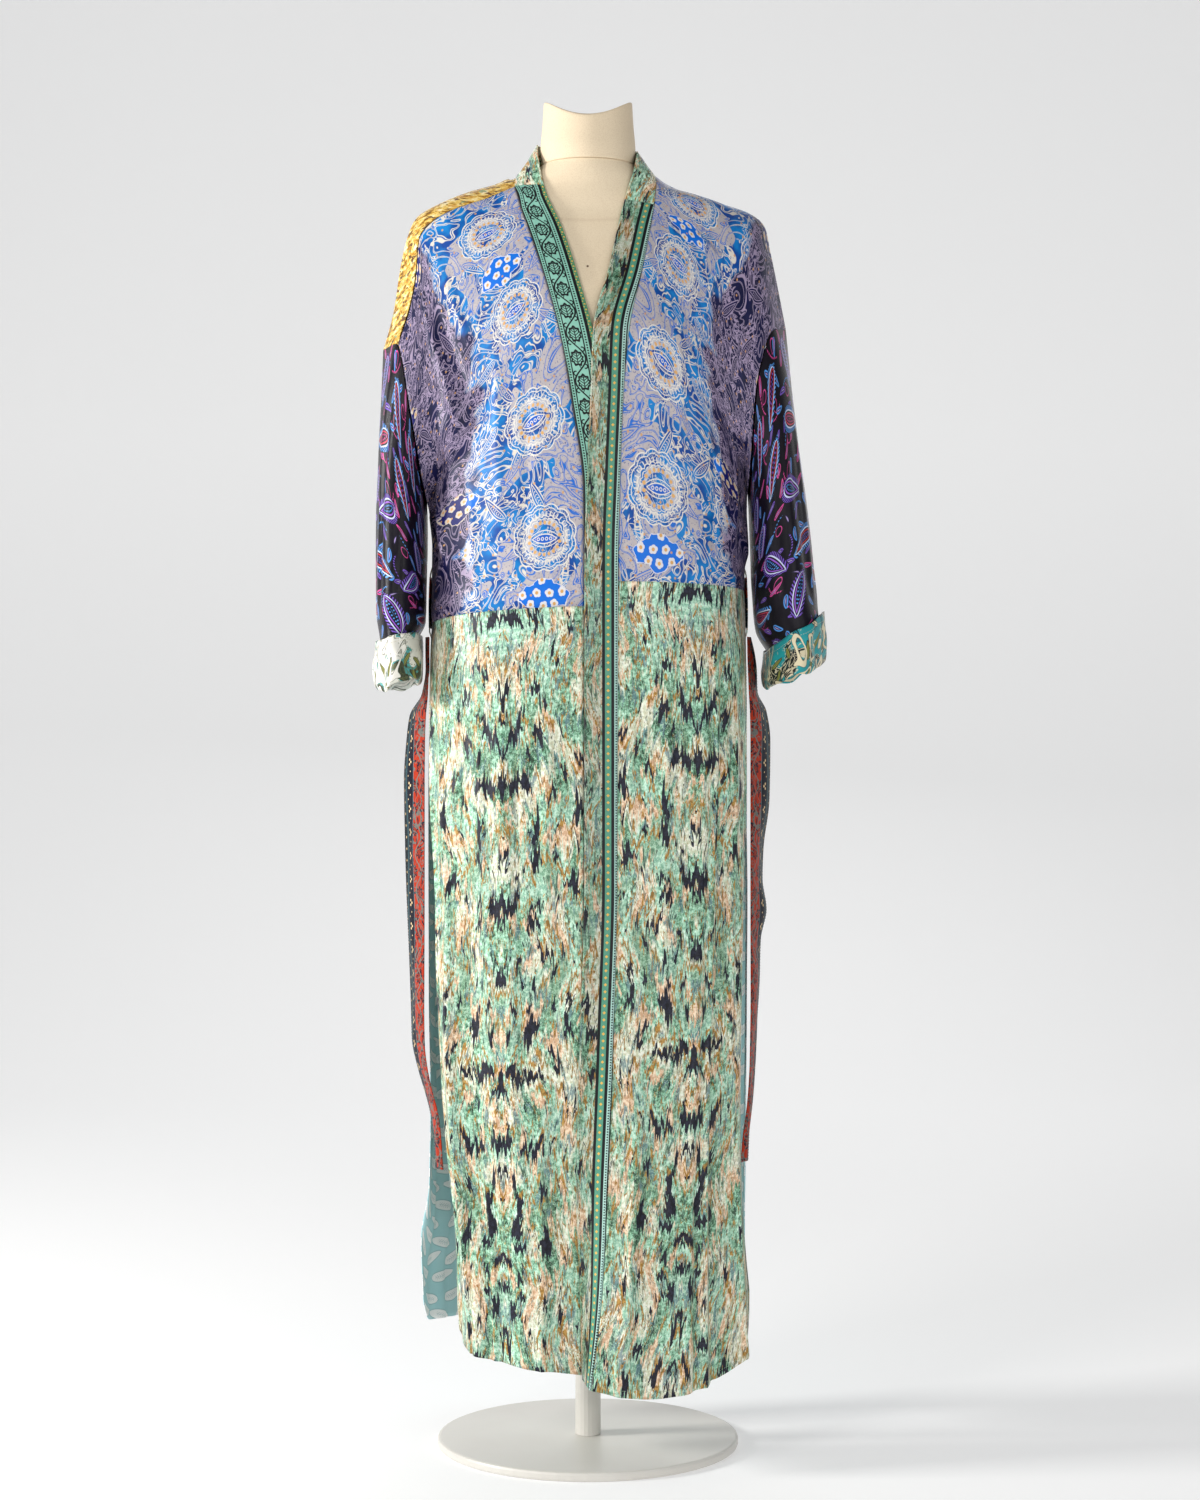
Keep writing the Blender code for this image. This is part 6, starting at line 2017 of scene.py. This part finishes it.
def make_loop(side):
    """A narrow tape that stands off the back, and meets it above and below the sash."""
    heights = spaced(LOOP_HIGH, LOOP_LOW, 30)
    bodies = {height: back_at_depth(side, LOOP_CENTRE, height).x for height in heights}

    def place(depth, height):
        return Vector((bodies[height] + SIGN[side] * LOOP_SHAPE.at(height, "off"), depth, height))

    depths = spaced(LOOP_CENTRE - LOOP_HALF_WIDTH, LOOP_CENTRE + LOOP_HALF_WIDTH, 4)
    loop = lay_cloth("loop_cloth_" + side, place, depths, heights, IKAT, SASH_WALL)
    round_edges(loop, SASH_EDGE)
    dress(loop, "sash_loop_" + side)


back_edges = []
for height in (SASH_HIGH - SASH_IN, SASH_LOW + SASH_IN):
    back_edges.append(just_outside([sash_over_back(height, part) for part in BACK_ACROSS]))
make_sash("back", "sash_back", sash_over_back, spaced(SASH_HIGH, SASH_LOW, 10), BACK_ACROSS, back_edges)
for side in SIGN:
    hang_sash(side)
    make_loop(side)

# %% [markdown]
# The dress form is a moulded body covered in cream jersey. It has no arms or head. A seam rings its neck,
# and the neck's top is scooped, higher at the sides. A steel pole and a round base carry it.

# %% Dress form
FORM_ANGLES = spaced(0.0, 360.0, 120)


def level_turn(angle, radius_x, radius_y, height):
    """A point of a level oval, by its angle in degrees."""
    turn = math.radians(angle)
    return Vector((radius_x * math.cos(turn), radius_y * math.sin(turn), height))


def torso_point(angle, height):
    depth = FORM.at(height, "front" if math.sin(math.radians(angle)) < 0 else "back")
    return level_turn(angle, FORM.at(height, "half_width"), depth, height)


def neck_point(angle, row):
    rise, reach = row
    radius = NECK.at(rise, "half_width") * reach
    rim = NECK_SIDE_TOP - NECK_SCOOP * math.sin(math.radians(angle)) ** 2
    middle = NECK_SIDE_TOP - NECK_SCOOP / 2 - NECK_MIDDLE_DIP
    height = mix(NECK_SEAM_HEIGHT, mix(middle, rim, reach**2), rise)
    return level_turn(angle, radius, radius, height)


# Height of a line of painted shade across the chest, where a wrinkle in the jersey cover would be shaded
CHEST_WRINKLE_SHADE_HEIGHT = 1.332
CHEST_MARK = 1.278


def jersey_finish():
    finish = Finish("form_jersey", sheen=0.1, specular=0.2)
    place = finish.place()
    speckle = finish.grain(place, 900.0)
    cloud = finish.grain(place, 9.0, 3.0)
    colour = finish.mix(cloud, ink(228, 208, 178), ink(236, 220, 192))
    colour = finish.mix(speckle.rise(0.4, 0.7) * 0.35, colour, ink(206, 182, 150))
    part = finish.node("ShaderNodeSeparateXYZ", inputs={0: place}).socket.node
    sideways, height = Field(finish, part.outputs[0]), Field(finish, part.outputs[2])
    # Painted shade: a soft darker line that sags across the chest and stands for the shading of a jersey
    # wrinkle, which the mesh does not have
    sag = height - sideways * sideways * 1.6 - CHEST_WRINKLE_SHADE_HEIGHT
    colour = finish.mix(sag.line(0.0, 0.001, 0.003) * 0.3, colour, ink(190, 160, 128))
    mark = distance(sideways, height - CHEST_MARK).inside(0.0012, 0.0006)
    colour = finish.mix(mark, colour, ink(96, 70, 50))
    return finish.paint(colour, cloud * 0.15 + 0.62, speckle, depth=0.0002, strength=0.4)


def cover_form(name, place, rows, node):
    """A closed, smooth part of the form in its jersey."""
    bm = bmesh.new()
    lay_grid(bm, place, FORM_ANGLES, rows)
    bmesh.ops.remove_doubles(bm, verts=bm.verts, dist=WELD)
    bmesh.ops.holes_fill(bm, edges=[edge for edge in bm.edges if edge.is_boundary], sides=0)
    bmesh.ops.recalc_face_normals(bm, faces=bm.faces)
    piece = make_piece(name, bm, JERSEY)
    dress(piece, node)
    print(f"{name}: {len(piece.data.polygons)} faces")


JERSEY = jersey_finish()
torso_rows = list(FORM.keys[:1]) + spaced(0.706, 1.402, 120) + [FORM.keys[-1]]
cover_form("form_torso_jersey", torso_point, torso_rows, "form_torso")
neck_rows = [(0.0, 0.97), (0.0, 0.985)] + [(rise, 1.0) for rise in spaced(0.012, 0.97, 26)]
neck_rows += [(0.985, 0.994), (0.996, 0.978), (1.0, 0.95), (1.0, 0.8), (1.0, 0.6), (1.0, 0.3), (1.0, 0.0)]
cover_form("form_neck_jersey", neck_point, neck_rows, "form_neck")

# %% Stand
def enamel_finish():
    finish = Finish("stand_enamel", sheen=0.0, specular=0.5, coat=0.1)
    place = finish.place()
    grain = finish.grain(place, 1400.0)
    cloud = finish.grain(place, 12.0, 4.0)
    colour = finish.mix(cloud, ink(206, 202, 194), ink(218, 215, 208))
    return finish.paint(colour, grain * 0.12 + 0.34, grain, depth=0.0001, strength=0.25)


ENAMEL = enamel_finish()
for name in ("stand_base", "stand_pole"):
    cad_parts[name].data.materials.clear()
    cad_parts[name].data.materials.append(ENAMEL)

# %% [markdown]
# The photograph has no scenery. A pale floor sweeps up far behind the object. A soft light stands at the
# front left, where the photograph's highlights are, and a small one grazes the cloth from the far left, so
# that creases show as bright lines. Weaker ones fill in from the right, the front and the back.

# %% Floor and light
SWEEP_WIDTH = 13.0
SWEEP_FRONT = -5.0
SWEEP_BACK = 4.4
SWEEP_RISE = 5.0
SWEEP_CURVE = 1.6
CURVE_STEPS = 12


def make_floor():
    """A floor that curves up into a backdrop."""
    bm = bmesh.new()
    profile = [Vector((0, SWEEP_FRONT, 0)), Vector((0, SWEEP_BACK - SWEEP_CURVE, 0))]
    for turn in spaced(0.0, math.pi / 2, CURVE_STEPS)[1:]:
        away = SWEEP_BACK - SWEEP_CURVE + SWEEP_CURVE * math.sin(turn)
        profile.append(Vector((0, away, SWEEP_CURVE * (1 - math.cos(turn)))))
    profile.append(Vector((0, SWEEP_BACK, SWEEP_RISE)))
    verts = [bm.verts.new(point - Vector((SWEEP_WIDTH / 2, 0, 0))) for point in profile]
    edges = [bm.edges.new(pair) for pair in zip(verts, verts[1:])]
    swept = bmesh.ops.extrude_edge_only(bm, edges=edges)["geom"]
    moved = [item for item in swept if isinstance(item, bmesh.types.BMVert)]
    bmesh.ops.translate(bm, verts=moved, vec=(SWEEP_WIDTH, 0, 0))
    bmesh.ops.recalc_face_normals(bm, faces=bm.faces)
    finish = Finish("floor_paper", sheen=0.0, specular=0.1)
    finish.shader.inputs["Emission Color"].default_value = (1.0, 1.0, 1.0, 1.0)
    finish.shader.inputs["Emission Strength"].default_value = 0.33
    material = finish.paint(ink(216, 216, 216), 0.9)
    make_piece("floor", bm, material, collection=bpy.context.scene.collection)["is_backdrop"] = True


def add_softbox(name, place, target, size, power, colour):
    """A square area light that looks at a target."""
    data = bpy.data.lights.new(name, "AREA")
    data.size = size
    data.energy = power
    data.color = colour
    lamp = bpy.data.objects.new(name, data)
    lamp.location = place
    lamp.rotation_euler = (Vector(target) - Vector(place)).to_track_quat("-Z", "Y").to_euler()
    lamp.visible_camera = False
    bpy.context.scene.collection.objects.link(lamp)


make_floor()
add_softbox("key", (-2.2, -2.7, 2.3), (0, 0, 0.9), 1.0, 41.0, (1.0, 0.985, 0.96))
add_softbox("side", (-2.8, -0.45, 1.4), (0, 0, 0.85), 0.6, 82.0, (1.0, 0.99, 0.97))
add_softbox("fill", (2.8, -2.6, 1.6), (0, 0, 0.8), 1.6, 18.0, (0.98, 0.99, 1.0))
add_softbox("front", (0.9, -3.6, 0.6), (0, 0, 0.5), 1.2, 27.0, (1.0, 1.0, 1.0))
add_softbox("back", (0.2, 3.4, 2.4), (0, 0, 0.9), 2.2, 24.0, (1.0, 1.0, 1.0))
world = bpy.data.worlds.new("studio")
world.use_nodes = True
world.node_tree.nodes["Background"].inputs["Color"].default_value = (0.9, 0.92, 0.95, 1.0)
world.node_tree.nodes["Background"].inputs["Strength"].default_value = 0.25
bpy.context.scene.world = world
bpy.context.scene.view_settings.view_transform = "Standard"

# %% Sizes
dressed_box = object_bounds()
sizes = [[list(corner) for corner in cad_box], [list(corner) for corner in dressed_box]]
for line, box in zip(("solids", "dressed"), sizes):
    print(line, [[round(value, 4) for value in corner] for corner in box])
